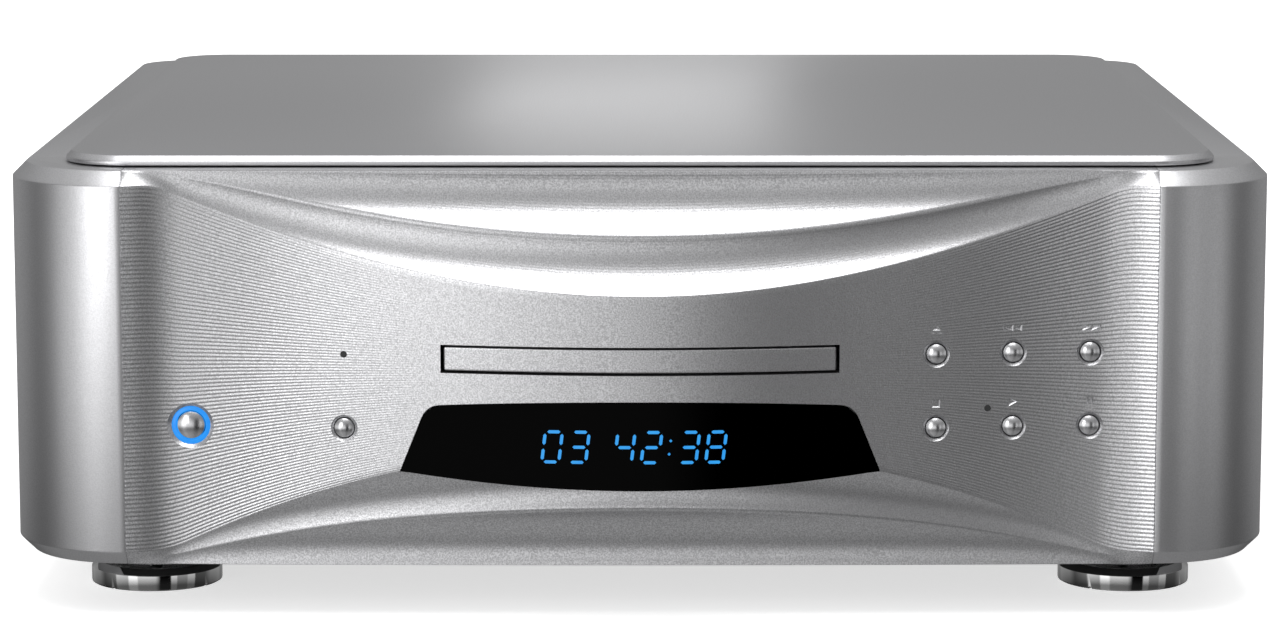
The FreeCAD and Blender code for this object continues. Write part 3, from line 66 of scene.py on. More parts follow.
SEAM_Y = -209.5
DECK_TOP = 158.0
FLOOR_Z = 19.0
EDGE_CHAMFER = 5.0
HALF_FASCIA = 180.0
FASCIA_BACK = 22.0
FRONT_BULGE = 14.0
FRONT_VALLEY = 4.0
VALLEY_OFFSET = 160.0
COVE_RADIUS = 20.0
UPPER_EDGE_HEIGHT = 116.6
UPPER_EDGE_RADIUS = 392.0
UPPER_BLEND_START = 164.0
LOWER_EDGE_HEIGHT = 63.9
LOWER_EDGE_RADIUS = 344.0
LOWER_BLEND_START = 158.0
RIDGE_SHARE = 0.483
RIDGE_SHARE_RISE = 0.45
LOWER_RIDGE_SHARE = 0.523
LOWER_RIDGE_DROP = 0.1

SLOT_HALF = 69.1
SLOT_BOTTOM = 88.9
SLOT_TOP = 98.8
FIRST_COLUMN = 103.0
SECOND_COLUMN = 130.0
THIRD_COLUMN = 157.0
UPPER_ROW = 94.5
LOWER_ROW = 68.5
BUTTON_SPOTS = {
    "mode_button": (-FIRST_COLUMN, LOWER_ROW),
    "eject_button": (FIRST_COLUMN, UPPER_ROW),
    "previous_button": (SECOND_COLUMN, UPPER_ROW),
    "next_button": (THIRD_COLUMN, UPPER_ROW),
    "stop_button": (FIRST_COLUMN, LOWER_ROW),
    "play_button": (SECOND_COLUMN, LOWER_ROW),
    "pause_button": (THIRD_COLUMN, LOWER_ROW),
}
STANDBY_SPOT = (-THIRD_COLUMN, LOWER_ROW)
LAMP_SPOTS = [(-FIRST_COLUMN, UPPER_ROW), (SECOND_COLUMN - 8.8, LOWER_ROW + 6.6)]

# Materials


def linear(hex_colour):
    """An sRGB hex colour as the linear RGBA that a shader takes."""
    channels = [int(hex_colour[start:start + 2], 16) / 255 for start in (1, 3, 5)]
    straight = [c / 12.92 if c <= 0.04045 else ((c + 0.055) / 1.055) ** 2.4 for c in channels]
    return (*straight, 1.0)


def node(tree, kind, settings=None, links=None):
    """Add a node; settings go to attributes or input sockets, links join sockets to its inputs."""
    item = tree.nodes.new(kind)
    for key, value in (settings or {}).items():
        if isinstance(key, str) and hasattr(item, key):
            setattr(item, key, value)
        else:
            item.inputs[key].default_value = value
    for key, socket in (links or {}).items():
        tree.links.new(socket, item.inputs[key])
    return item


def new_material(name):
    material = bpy.data.materials.new(name)
    material.use_nodes = True
    tree = material.node_tree
    shader = tree.nodes["Principled BSDF"]
    return material, tree, shader


def cells(width):
    """The scale of a noise texture whose cells are this many millimetres wide."""
    return 1000 / width


def bead_blasted_aluminium(name, shades, roughness, lines=False):
    """Anodised aluminium, bead blasted to a fine sparkling grain, with machined lines where asked."""
    material, tree, shader = new_material(name)
    place = node(tree, "ShaderNodeTexCoord").outputs["Object"]
    # Pits of about 0.5 mm catch the light one by one, which gives the surface its sparkle.
    pits = node(tree, "ShaderNodeTexNoise", {"Scale": cells(0.5), "Detail": 1.0}, {"Vector": place})
    sparkle = node(tree, "ShaderNodeMapRange", {1: 0.34, 2: 0.66}, {0: pits.outputs[0]})
    tint = node(tree, "ShaderNodeMix", {"data_type": "RGBA", 6: linear(shades[0]), 7: linear(shades[1])},
                {0: sparkle.outputs[0]})
    tree.links.new(tint.outputs[2], shader.inputs["Base Color"])
    shader.inputs["Metallic"].default_value = 1.0
    gloss = node(tree, "ShaderNodeMapRange", {3: roughness + 0.04, 4: roughness - 0.04}, {0: sparkle.outputs[0]})
    tree.links.new(gloss.outputs[0], shader.inputs["Roughness"])
    bump = node(tree, "ShaderNodeBump", {"Strength": 0.5, "Distance": 0.00006}, {"Height": pits.outputs[0]})
    if lines:
        bump = machined_lines(tree, bump)
    tree.links.new(bump.outputs[0], shader.inputs["Normal"])
    return material


def machined_lines(tree, grain_bump):
    """Shallow cutter passes along the panel: the lines UV map counts them, line_depth fades them out."""
    count = node(tree, "ShaderNodeSeparateXYZ", None,
                 {0: node(tree, "ShaderNodeUVMap", {"uv_map": "lines"}).outputs[0]})
    turn = node(tree, "ShaderNodeMath", {"operation": "MULTIPLY", 1: 2 * math.pi}, {0: count.outputs[1]})
    wave = node(tree, "ShaderNodeMath", {"operation": "SINE"}, {0: turn.outputs[0]})
    depth = node(tree, "ShaderNodeVertexColor", {"layer_name": "line_depth"}).outputs[0]
    height = node(tree, "ShaderNodeMath", {"operation": "MULTIPLY"}, {0: wave.outputs[0], 1: depth})
    return node(tree, "ShaderNodeBump", {"Strength": 1.0, "Distance": 0.000034},
                {"Height": height.outputs[0], "Normal": grain_bump.outputs[0]})


def plain_metal(name, colour, roughness, mark_width=1.0, mark_depth=0.02):
    """Bare or plated metal with faint tool marks that vary its gloss."""
    material, tree, shader = new_material(name)
    place = node(tree, "ShaderNodeTexCoord").outputs["Object"]
    marks = node(tree, "ShaderNodeTexNoise", {"Scale": cells(mark_width), "Detail": 3.0}, {"Vector": place})
    shader.inputs["Base Color"].default_value = linear(colour)
    shader.inputs["Metallic"].default_value = 1.0
    gloss = node(tree, "ShaderNodeMapRange", {3: roughness * 0.8, 4: roughness * 1.2}, {0: marks.outputs[0]})
    tree.links.new(gloss.outputs[0], shader.inputs["Roughness"])
    bump = node(tree, "ShaderNodeBump", {"Strength": 0.15, "Distance": mm(mark_depth)},
                {"Height": marks.outputs[0]})
    tree.links.new(bump.outputs[0], shader.inputs["Normal"])
    return material


def knurled_metal(name, colour, pitch, depth):
    """Steel rolled with diamond knurling: two sets of grooves cross each other round the piece."""
    material, tree, shader = new_material(name)
    place = node(tree, "ShaderNodeSeparateXYZ", None,
                 {0: node(tree, "ShaderNodeUVMap", {"uv_map": "around"}).outputs[0]})
    ridges = []
    for operation in ("ADD", "SUBTRACT"):
        way = node(tree, "ShaderNodeMath", {"operation": operation}, {0: place.outputs[0], 1: place.outputs[1]})
        turn = node(tree, "ShaderNodeMath", {"operation": "MULTIPLY", 1: math.pi / pitch}, {0: way.outputs[0]})
        wave = node(tree, "ShaderNodeMath", {"operation": "SINE"}, {0: turn.outputs[0]})
        ridges.append(node(tree, "ShaderNodeMath", {"operation": "ABSOLUTE"}, {0: wave.outputs[0]}).outputs[0])
    diamonds = node(tree, "ShaderNodeMath", {"operation": "MULTIPLY"}, {0: ridges[0], 1: ridges[1]})
    shader.inputs["Base Color"].default_value = linear(colour)
    shader.inputs["Metallic"].default_value = 1.0
    # The points of the diamonds are worn bright, the grooves stay dull.
    gloss = node(tree, "ShaderNodeMapRange", {3: 0.45, 4: 0.15}, {0: diamonds.outputs[0]})
    tree.links.new(gloss.outputs[0], shader.inputs["Roughness"])
    bump = node(tree, "ShaderNodeBump", {"Strength": 1.0, "Distance": mm(depth)}, {"Height": diamonds.outputs[0]})
    tree.links.new(bump.outputs[0], shader.inputs["Normal"])
    return material


def moulded(name, colour, roughness, skin_width=0.8, strength=0.15, shine=0.5):
    """Moulded plastic, paint or rubber with a fine skin texture."""
    material, tree, shader = new_material(name)
    place = node(tree, "ShaderNodeTexCoord").outputs["Object"]
    skin = node(tree, "ShaderNodeTexNoise", {"Scale": cells(skin_width), "Detail": 3.0}, {"Vector": place})
    shader.inputs["Base Color"].default_value = linear(colour)
    shader.inputs["Specular IOR Level"].default_value = shine
    gloss = node(tree, "ShaderNodeMapRange", {3: max(roughness - 0.05, 0), 4: roughness + 0.05},
                 {0: skin.outputs[0]})
    tree.links.new(gloss.outputs[0], shader.inputs["Roughness"])
    bump = node(tree, "ShaderNodeBump", {"Strength": strength, "Distance": mm(0.1)}, {"Height": skin.outputs[0]})
    tree.links.new(bump.outputs[0], shader.inputs["Normal"])
    return material


def glowing(name, core, edge, strength):
    """A lit light guide or display segment, a little paler in places where it is thin."""
    material, tree, shader = new_material(name)
    place = node(tree, "ShaderNodeTexCoord").outputs["Object"]
    cloud = node(tree, "ShaderNodeTexNoise", {"Scale": cells(3.0), "Detail": 1.0}, {"Vector": place})
    glow = node(tree, "ShaderNodeMix", {"data_type": "RGBA", 6: linear(core), 7: linear(edge)},
                {0: cloud.outputs[0]})
    shader.inputs["Base Color"].default_value = linear("#081020")
    shader.inputs["Roughness"].default_value = 0.4
    tree.links.new(glow.outputs[2], shader.inputs["Emission Color"])
    shader.inputs["Emission Strength"].default_value = strength
    return material


MATERIALS = {
    "satin_aluminium": bead_blasted_aluminium("bead_blasted_aluminium", ("#C2C2C4", "#CCCCCE"), 0.38),
    "lined_aluminium": bead_blasted_aluminium("machined_line_aluminium", ("#B2B2B4", "#D8D8DA"), 0.34, True),
    "panel_aluminium": bead_blasted_aluminium("satin_panel_aluminium", ("#BEBEC0", "#CACACC"), 0.34),
    "turned_aluminium": plain_metal("fine_turned_aluminium", "#C8C8CA", 0.24),
    "polished_steel": plain_metal("polished_stainless_steel", "#C4C4C4", 0.06),
    "knurled_steel": knurled_metal("knurled_stainless_steel", "#C6C6C8", 1.1, 0.5),
    "zinc_steel": plain_metal("zinc_plated_steel", "#9DA0A0", 0.35, 6.0),
    "nickel_plate": plain_metal("nickel_plated_brass", "#B5B2AC", 0.18),
    "gold_plate": plain_metal("gold_plated_brass", "#D9A94A", 0.2),
    "black_glass": moulded("smoked_acrylic_window", "#000000", 0.08, strength=0.0, shine=0.03),
    "display_glass": moulded("vacuum_display_glass", "#0A1820", 0.1, strength=0.0),
    "blue_light": glowing("blue_light_guide", "#0F86F0", "#2FA2FA", 1.0),
    "digit_light": glowing("blue_display_digits", "#1A90E8", "#30A8F0", 1.0),
    "lamp_lens": moulded("clear_lamp_lens", "#101214", 0.15, strength=0.0),
    "black_paint": moulded("satin_black_powder_coat", "#19191A", 0.5, 0.5, 0.4),
    "board_green": moulded("green_solder_mask", "#12402A", 0.35),
    "black_plastic": moulded("black_moulded_abs", "#141415", 0.45),
    "dark_tray": moulded("dark_grey_tray_moulding", "#26272A", 0.5),
    "white_acetal": moulded("white_acetal", "#DCD9CF", 0.4),
    "rubber": moulded("black_rubber", "#101010", 0.75),
    "lens_glass": moulded("coated_objective_lens", "#3A2F55", 0.05, strength=0.0),
}
SLOT_OF = {part["node"]: part["material_slot"] for part in frame["record"]["subparts"]}

# Mesh helpers


def finish_piece(name, bm, body, slot, material=None, crease=35.0, replaced=()):
    """Turn a bmesh into a piece that rides on a body, with edges sharper than the crease kept sharp."""
    for face in bm.faces:
        face.smooth = True
    for edge in bm.edges:
        limit = crease(edge) if callable(crease) else crease
        edge.smooth = len(edge.link_faces) == 2 and edge.calc_face_angle(0) < math.radians(limit)
    mesh = bpy.data.meshes.new(name)
    bm.to_mesh(mesh)
    bm.free()
    return adopt(name, mesh, body, slot, material, replaced)


def adopt(name, mesh, body, slot, material=None, replaced=()):
    piece = bpy.data.objects.new(name, mesh)
    bpy.context.scene.collection.objects.link(piece)
    mesh.materials.clear()
    mesh.materials.append(material or MATERIALS[slot])
    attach(piece, body)
    if replaced:
        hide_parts(*replaced)
    return piece


def body_of(node_name):
    return frame["nodes"][node_name].parent.name.split(":", 1)[1]


def softened_copy(node_name, bevel=0.0, crease=35.0, flat=0.5):
    """A merged, smooth copy of a CAD node with its edges just broken, which takes the node's place."""
    bm = bmesh.new()
    bm.from_mesh(frame["nodes"][node_name].data)
    bmesh.ops.remove_doubles(bm, verts=bm.verts, dist=mm(0.002))
    bmesh.ops.dissolve_limit(bm, angle_limit=math.radians(flat), verts=bm.verts, edges=bm.edges)
    if bevel:
        limit = math.radians(crease)
        edges = [e for e in bm.edges if len(e.link_faces) == 2 and e.calc_face_angle(0) > limit]
        bmesh.ops.bevel(bm, geom=edges, offset=mm(bevel), segments=2, profile=0.5, affect="EDGES",
                        clamp_overlap=True, material=-1)
    slot = SLOT_OF[node_name]
    return finish_piece(f"{node_name}_finish", bm, body_of(node_name), slot, None, crease, (node_name,))


def arc(radius, depth, rim, steps=8):
    """The profile of a dome of a given radius and depth, from its tip to its rounded rim."""
    ball = (radius * radius + depth * depth) / (2 * depth)
    reach = math.asin((radius - rim) / ball)
    points = [(ball * math.sin(reach * n / steps), ball * (1 - math.cos(reach * n / steps)))
              for n in range(steps + 1)]
    low = points[-1][1]
    points += [(radius - rim * 0.3, low + rim * 0.45), (radius, low + rim * 1.3)]
    return points


def lathe(profile, spot, steps=48, axis="Y"):
    """A profile of (radius, distance along the axis) in millimetres, spun about an axis through a spot."""
    bm = bmesh.new()
    verts = [bm.verts.new((mm(radius), 0, mm(along))) for radius, along in profile]
    edges = [bm.edges.new(pair) for pair in zip(verts, verts[1:])]
    bmesh.ops.spin(bm, geom=verts + edges, cent=(0, 0, 0), axis=(0, 0, 1), angle=2 * math.pi, steps=steps,
                   use_merge=True, use_duplicate=False)
    bmesh.ops.remove_doubles(bm, verts=bm.verts, dist=mm(0.001))
    bmesh.ops.recalc_face_normals(bm, faces=bm.faces)
    around = bm.loops.layers.uv.new("around")
    for face in bm.faces:
        middle = face.calc_center_median()
        home = math.atan2(middle.y, middle.x)
        for loop in face.loops:
            turn = math.atan2(loop.vert.co.y, loop.vert.co.x) - home
            turn = (turn + math.pi) % (2 * math.pi) - math.pi
            loop[around].uv = ((home + turn) * loop.vert.co.xy.length * 1000, loop.vert.co.z * 1000)
    if axis == "Y":
        bmesh.ops.rotate(bm, verts=bm.verts, cent=(0, 0, 0), matrix=Matrix.Rotation(-math.pi / 2, 3, "X"))
    bmesh.ops.translate(bm, verts=bm.verts, vec=[mm(value) for value in spot])
    return bm


def joined(pieces):
    """Several bmeshes as one."""
    whole = bmesh.new()
    for bm in pieces:
        mesh = bpy.data.meshes.new("part_of_whole")
        bm.to_mesh(mesh)
        bm.free()
        whole.from_mesh(mesh)
        bpy.data.meshes.remove(mesh)
    return whole


# The sculpted front panel


def face_back(x):
    """How far the face lies behind the seam plane at a distance from the middle."""
    reach = abs(x)
    if reach <= VALLEY_OFFSET:
        swell = (FRONT_BULGE + FRONT_VALLEY) / 2
        return FRONT_VALLEY - swell * (1 + math.cos(math.pi * reach / VALLEY_OFFSET))
    share = (reach - VALLEY_OFFSET) / (HALF_FASCIA - VALLEY_OFFSET)
    return FRONT_VALLEY * (1 - share * share)


def blended(x, centre, radius, blend_start, limit):
    """A parabola about the middle that runs over into a level line at the limit."""
    reach = abs(x)
    way = 1 if limit > centre else -1
    if reach <= blend_start:
        return centre + way * reach * reach / (2 * radius)
    slope = blend_start / radius
    level = centre + way * blend_start * blend_start / (2 * radius)
    span = max(2 * abs(limit - level) / slope, 1e-6)
    share = min((reach - blend_start) / span, 1)
    return level + (limit - level) * (2 * share - share * share)


def upper_edge(x):
    return blended(x, UPPER_EDGE_HEIGHT, UPPER_EDGE_RADIUS, UPPER_BLEND_START, DECK_TOP - EDGE_CHAMFER)


def lower_edge(x):
    return blended(x, LOWER_EDGE_HEIGHT, LOWER_EDGE_RADIUS, LOWER_BLEND_START, FLOOR_Z + EDGE_CHAMFER)


def cove_points(first, second, count):
    """Points along the hollow arc between two section points, without the last."""
    chord = second - first
    length = chord.length
    radius = max(COVE_RADIUS, length * 0.6)
    rise = math.sqrt(radius * radius - length * length / 4)
    normal = Vector((abs(chord.y), chord.x if chord.y < 0 else -chord.x)) / length
    centre = (first + second) / 2 - normal * rise
    start = first - centre
    half = math.asin(length / (2 * radius))
    turn = 2 * half if start.x * chord.y - start.y * chord.x > 0 else -2 * half
    points = []
    for number in range(count):
        angle = turn * number / count
        c, s = math.cos(angle), math.sin(angle)
        points.append(centre + Vector((start.x * c - start.y * s, start.x * s + start.y * c)))
    return points


COVE_ROWS = 14
FACE_ROWS = 30
CREST_REACH = 1.1
EDGE_REACH = 0.2
FACE_REACH = 0.3


def crest(points, index, reach):
    """Round a corner of a point list: its vertex moves in and its neighbours close up to it."""
    before, corner, after = points[index - 1], points[index], points[index + 1]
    into = (before - corner).normalized() * min(reach, (before - corner).length * 0.8)
    out = (after - corner).normalized() * min(reach, (after - corner).length * 0.8)
    points[index] = corner + (into + out) / 4
    points.insert(index + 1, corner + out)
    points.insert(index, corner + into)


def section(x):
    """The panel's outline at x, as (depth behind the seam plane, height), from back top to back bottom."""
    share = abs(x) / HALF_FASCIA
    face = face_back(x)
    top = Vector((EDGE_CHAMFER, DECK_TOP))
    bottom = Vector((2 + (EDGE_CHAMFER - 2) * share ** 2, FLOOR_Z))
    face_top = Vector((face, upper_edge(x)))
    face_low = Vector((face, lower_edge(x)))
    ridge = face_top.lerp(top, RIDGE_SHARE + RIDGE_SHARE_RISE * share ** 4)
    low_ridge = face_low.lerp(bottom, LOWER_RIDGE_SHARE - LOWER_RIDGE_DROP * share ** 2)
    points = [Vector((FASCIA_BACK, DECK_TOP))]
    corners = []
    for first, second in ((top, ridge), (ridge, face_top)):
        corners.append(len(points))
        points += cove_points(first, second, COVE_ROWS)
    corners.append(len(points))
    points += [face_top.lerp(face_low, number / FACE_ROWS) for number in range(FACE_ROWS)]
    for first, second in ((face_low, low_ridge), (low_ridge, bottom)):
        corners.append(len(points))
        points += cove_points(first, second, COVE_ROWS)
    corners.append(len(points))
    points += [bottom, Vector((FASCIA_BACK, FLOOR_Z))]
    reaches = (EDGE_REACH, CREST_REACH, FACE_REACH, FACE_REACH, CREST_REACH, EDGE_REACH)
    for index, reach in sorted(zip(corners, reaches), reverse=True):
        crest(points, index, reach)
    return points


COLUMNS = 240
COVE_START = 3
COVE_END = COVE_START + 2 * COVE_ROWS + 2
FACE_START = COVE_END + 2
FACE_END = FACE_START + FACE_ROWS
COVE_LINES = 46
FACE_LINES = 86
SEAM_EDGE = 0.3


def line_depth(x, row):
    """How deep the machined lines are cut: full at the ends of the face, and only mid way in the coves."""
    share = abs(x) / HALF_FASCIA
    if row < COVE_END:
        return 0.4 * max(1 - 1.3 * share ** 2, 0)
    return min(max((share - 0.25) / 0.5, 0.12), 1)


def grid_skin(xs, outline_at, rows):
    """A closed skin whose columns stand at the xs and whose rows follow the outline there."""
    bm = bmesh.new()
    bmesh.ops.create_grid(bm, x_segments=len(xs) - 1, y_segments=rows - 1, size=0.5)
    outlines = [outline_at(x) for x in xs]
    marks = {}
    grid = {}
    for vert in bm.verts:
        column = round((vert.co.x + 0.5) * (len(xs) - 1))
        row = round((0.5 - vert.co.y) * (rows - 1))
        back, height = outlines[column][row]
        vert.co = (mm(xs[column]), mm(SEAM_Y + back), mm(height))
        marks[vert] = (xs[column], row)
        grid[column, row] = vert
    last = rows - 1
    for column in range(len(xs) - 1):
        bm.faces.new((grid[column, 0], grid[column + 1, 0], grid[column + 1, last], grid[column, last]))
    for column in (0, len(xs) - 1):
        bm.faces.new([grid[column, row] for row in range(rows)])
    bmesh.ops.recalc_face_normals(bm, faces=bm.faces)
    return bm, marks


def drawn_in(outline, edge, back, low, high):
    """An outline made smaller by an edge in front, above and below, for the last column before an end."""
    return [Vector((min(p.x + edge, back), min(max(p.y, low + edge), high - edge))) for p in outline]


def panel_mesh():
    """The panel's skin with the machined lines counted on it."""
    inner = HALF_FASCIA - SEAM_EDGE
    xs = [HALF_FASCIA * (2 * number / COLUMNS - 1) for number in range(COLUMNS + 1)]
    xs[1] = -inner
    xs[-2] = inner

    def outline(x):
        if abs(x) < HALF_FASCIA:
            return section(x)
        return drawn_in(section(x), SEAM_EDGE, FASCIA_BACK, FLOOR_Z, DECK_TOP)

    bm, marks = grid_skin(xs, outline, len(section(0.0)))
    lines = bm.loops.layers.uv.new("lines")
    depth = bm.loops.layers.color.new("line_depth")
    bands = ((COVE_START, COVE_END, COVE_LINES), (FACE_START, FACE_END, FACE_LINES))
    for face in bm.faces:
        rows = [marks[vert][1] for vert in face.verts]
        if max(rows) - min(rows) > 1:
            continue
        first_row = min(rows)
        band = next((band for band in bands if band[0] <= first_row < band[1]), None)
        for loop in face.loops:
            x, row = marks[loop.vert]
            strength = 0
            if band:
                start, end, count = band
                loop[lines].uv = (mm(x), count * (row - start) / (end - start))
                strength = line_depth(x, first_row)
            loop[depth] = (strength, strength, strength, 1)
    return bm


DOOR_HALF = 67.9
DOOR_LOW = 89.9
DOOR_HIGH = 98.0
DOOR_BACK = -3.0
DOOR_EDGE = 0.35


def door_outline(x):
    """The tray door's outline at x, with its front edges rounded."""
    front = face_back(x)
    edge = DOOR_EDGE
    high = [(DOOR_BACK, DOOR_HIGH), (front + edge, DOOR_HIGH), (front + edge * 0.3, DOOR_HIGH - edge * 0.3),
            (front, DOOR_HIGH - edge), (front, DOOR_HIGH - edge - 0.25)]
    low = [(back, DOOR_LOW + DOOR_HIGH - height) for back, height in reversed(high)]
    outline = [Vector(point) for point in high + low]
    if abs(x) < DOOR_HALF:
        return outline
    return drawn_in(outline, edge, DOOR_BACK, DOOR_LOW, DOOR_HIGH)


def tray_door():
    xs = [-DOOR_HALF] + [(DOOR_HALF - DOOR_EDGE) * (number / 30 - 1) for number in range(61)] + [DOOR_HALF]
    bm, marks = grid_skin(xs, door_outline, len(door_outline(0)))
    lines = bm.loops.layers.uv.new("lines")
    depth = bm.loops.layers.color.new("line_depth")
    for face in bm.faces:
        for loop in face.loops:
            loop[lines].uv = (0, loop.vert.co.z * 1000 / 0.75)
            loop[depth] = (0.3, 0.3, 0.3, 1)
    finish_piece("tray_door_front", bm, "tray", "satin_aluminium", MATERIALS["lined_aluminium"],
                 30.0, ("tray_door",))


def cut_from(name, bm, cutters):
    """Cut closed cutter meshes out of a bmesh and give the result back as a mesh."""
    mesh = bpy.data.meshes.new(name)
    bm.to_mesh(mesh)
    bm.free()
    base = bpy.data.objects.new(f"{name}_blank", mesh)
    bpy.context.scene.collection.objects.link(base)
    tools = bpy.data.collections.new(f"{name}_cutters")
    for number, cutter in enumerate(cutters):
        tool_mesh = bpy.data.meshes.new(f"{name}_cutter_{number}")
        cutter.to_mesh(tool_mesh)
        cutter.free()
        tools.objects.link(bpy.data.objects.new(f"{name}_cutter_{number}", tool_mesh))
    modifier = base.modifiers.new("cut", "BOOLEAN")
    modifier.operation = "DIFFERENCE"
    modifier.operand_type = "COLLECTION"
    modifier.collection = tools
    modifier.solver = "EXACT"
    result = bpy.data.meshes.new_from_object(base.evaluated_get(bpy.context.evaluated_depsgraph_get()))
    bpy.data.objects.remove(base)
    for tool in list(tools.objects):
        bpy.data.objects.remove(tool)
    bpy.data.collections.remove(tools)
    return result


def block(low, high):
    bm = bmesh.new()
    bmesh.ops.create_cube(bm, size=1.0)
    scale = [mm(b - a) for a, b in zip(low, high)]
    middle = [mm((a + b) / 2) for a, b in zip(low, high)]
    bmesh.ops.scale(bm, verts=bm.verts, vec=scale)
    bmesh.ops.translate(bm, verts=bm.verts, vec=middle)
    return bm


WINDOW_TOP = 79.6
WINDOW_SIDE_TOP = 77.3
WINDOW_TOP_HALF = 74.0
WINDOW_LOW_HALF = 83.5
WINDOW_CORNER_Z = 53.9
WINDOW_BOTTOM = 48.5
WINDOW_BACK = 2.0


def bowed(start, end, rise, count):
    """Points from start to end along a shallow arc, without the last."""
    points = []
    for number in range(count):
        share = number / count
        point = start.lerp(end, share)
        point.y += rise * 4 * share * (1 - share)
        points.append(point)
    return points


def window_outline(grow):
    """The display window's outline in X and Z, clockwise from the upper left corner."""
    top_left = Vector((-WINDOW_TOP_HALF - grow, WINDOW_SIDE_TOP + grow))
    top_right = Vector((WINDOW_TOP_HALF + grow, WINDOW_SIDE_TOP + grow))
    low_right = Vector((WINDOW_LOW_HALF + grow, WINDOW_CORNER_Z - grow))
    low_left = Vector((-WINDOW_LOW_HALF - grow, WINDOW_CORNER_Z - grow))
    radius = 5.0
    slant = (low_right - top_right).normalized()
    points = bowed(top_left + Vector((radius, 0.2)), top_right + Vector((-radius, 0.2)),
                   WINDOW_TOP - WINDOW_SIDE_TOP - 0.2, 48)
    for number in range(7):
        share = number / 6
        first = (top_right + Vector((-radius, 0.2))).lerp(top_right, share)
        second = top_right.lerp(top_right + slant * radius, share)
        points.append(first.lerp(second, share))
    points += bowed(low_right, low_left, WINDOW_BOTTOM - WINDOW_CORNER_Z, 48)
    points.append(low_left)
    for number in range(7):
        share = number / 6
        side = Vector((-slant.x, slant.y))
        first = (top_left + side * radius).lerp(top_left, share)
        second = top_left.lerp(top_left + Vector((radius, 0.2)), share)
        points.append(first.lerp(second, share))
    return points[:-1]


def prism(outline, front, rear):
    """A closed prism along Y from an outline in X and Z."""
    bm = bmesh.new()
    face = bm.faces.new([bm.verts.new((mm(x), mm(front), mm(z))) for x, z in outline])
    made = bmesh.ops.extrude_face_region(bm, geom=[face])["geom"]
    moved = [item for item in made if isinstance(item, bmesh.types.BMVert)]
    bmesh.ops.translate(bm, verts=moved, vec=(0, mm(rear - front), 0))
    bmesh.ops.recalc_face_normals(bm, faces=bm.faces)
    return bm


MARK_DEPTH = 0.4
MARK_WALL = 0.42
MARK_RISE = 8.7


def bar(x, half, width=0.6):
    """An upright bar about x."""
    return [(x - width / 2, -half), (x + width / 2, -half), (x + width / 2, half), (x - width / 2, half)]


def arrow(tip, base, half):
    """A triangle that points along X from its base to its tip."""
    corners = [(base, -half), (tip, 0), (base, half)]
    return corners if tip > base else corners[::-1]


MARKS = {
    "eject_button": [[(-1.6, -0.3), (1.6, -0.3), (0, 1.5)], [(-1.6, -1.5), (1.6, -1.5), (1.6, -0.9), (-1.6, -0.9)]],
    "previous_button": [bar(-3.4, 1.1), arrow(-2.9, -0.1, 1.1), arrow(0.2, 3.0, 1.1)],
    "next_button": [bar(3.4, 1.1), arrow(2.9, 0.1, 1.1), arrow(-0.2, -3.0, 1.1)],
    "stop_button": [[(-1.45, -1.5), (1.45, -1.5), (1.45, 1.5), (-1.45, 1.5)]],
    "play_button": [arrow(1.6, -1.4, 1.6)],
    "pause_button": [bar(-0.75, 1.5, 0.8), bar(0.75, 1.5, 0.8)],
}


def engraving(x, z, corners):
    """The cutter of one engraved sign: a pocket whose walls slope in to a floor, or to a line."""
    middle = sum((Vector(corner) for corner in corners), Vector((0, 0))) / len(corners)
    reach = min(abs((Vector(a) - middle).cross(Vector(b) - Vector(a))) / (Vector(b) - Vector(a)).length
                for a, b in zip(corners, corners[1:] + corners[:1]))
    share = max(1 - MARK_WALL / reach, 0.12)
    bm = bmesh.new()
    rings = []
    for shrink, depth in ((1.0, -0.2), (1.0, 0.0), (share, MARK_DEPTH)):
        places = [middle + (Vector(corner) - middle) * shrink for corner in corners]
        rings.append([bm.verts.new((mm(x + p.x), mm(SEAM_Y + face_back(x + p.x) + depth), mm(z + p.y)))
                      for p in places])
    bm.faces.new(rings[0])
    bm.faces.new(rings[-1])
    for upper, lower in zip(rings, rings[1:]):
        for number in range(len(corners)):
            after = (number + 1) % len(corners)
            bm.faces.new((upper[number], upper[after], lower[after], lower[number]))
    bmesh.ops.recalc_face_normals(bm, faces=bm.faces)
    return bm


def turned_to_face(bm, x, z):
    """Turn a cutter made at a spot on the face square to the face there."""
    slope = (face_back(x + 0.5) - face_back(x - 0.5))
    spot = Vector((mm(x), mm(SEAM_Y + face_back(x)), mm(z)))
    bmesh.ops.rotate(bm, verts=bm.verts, cent=spot, matrix=Matrix.Rotation(math.atan(slope), 3, "Z"))
    return bm


SIGNS_LOW = 60.0
SIGNS_HIGH = 112.0


def panel_crease(edge):
    """The fold that still shows as an edge: small among the crisp signs, wide on the cove crests."""
    return 30.0 if mm(SIGNS_LOW) < edge.verts[0].co.z < mm(SIGNS_HIGH) else 40.0


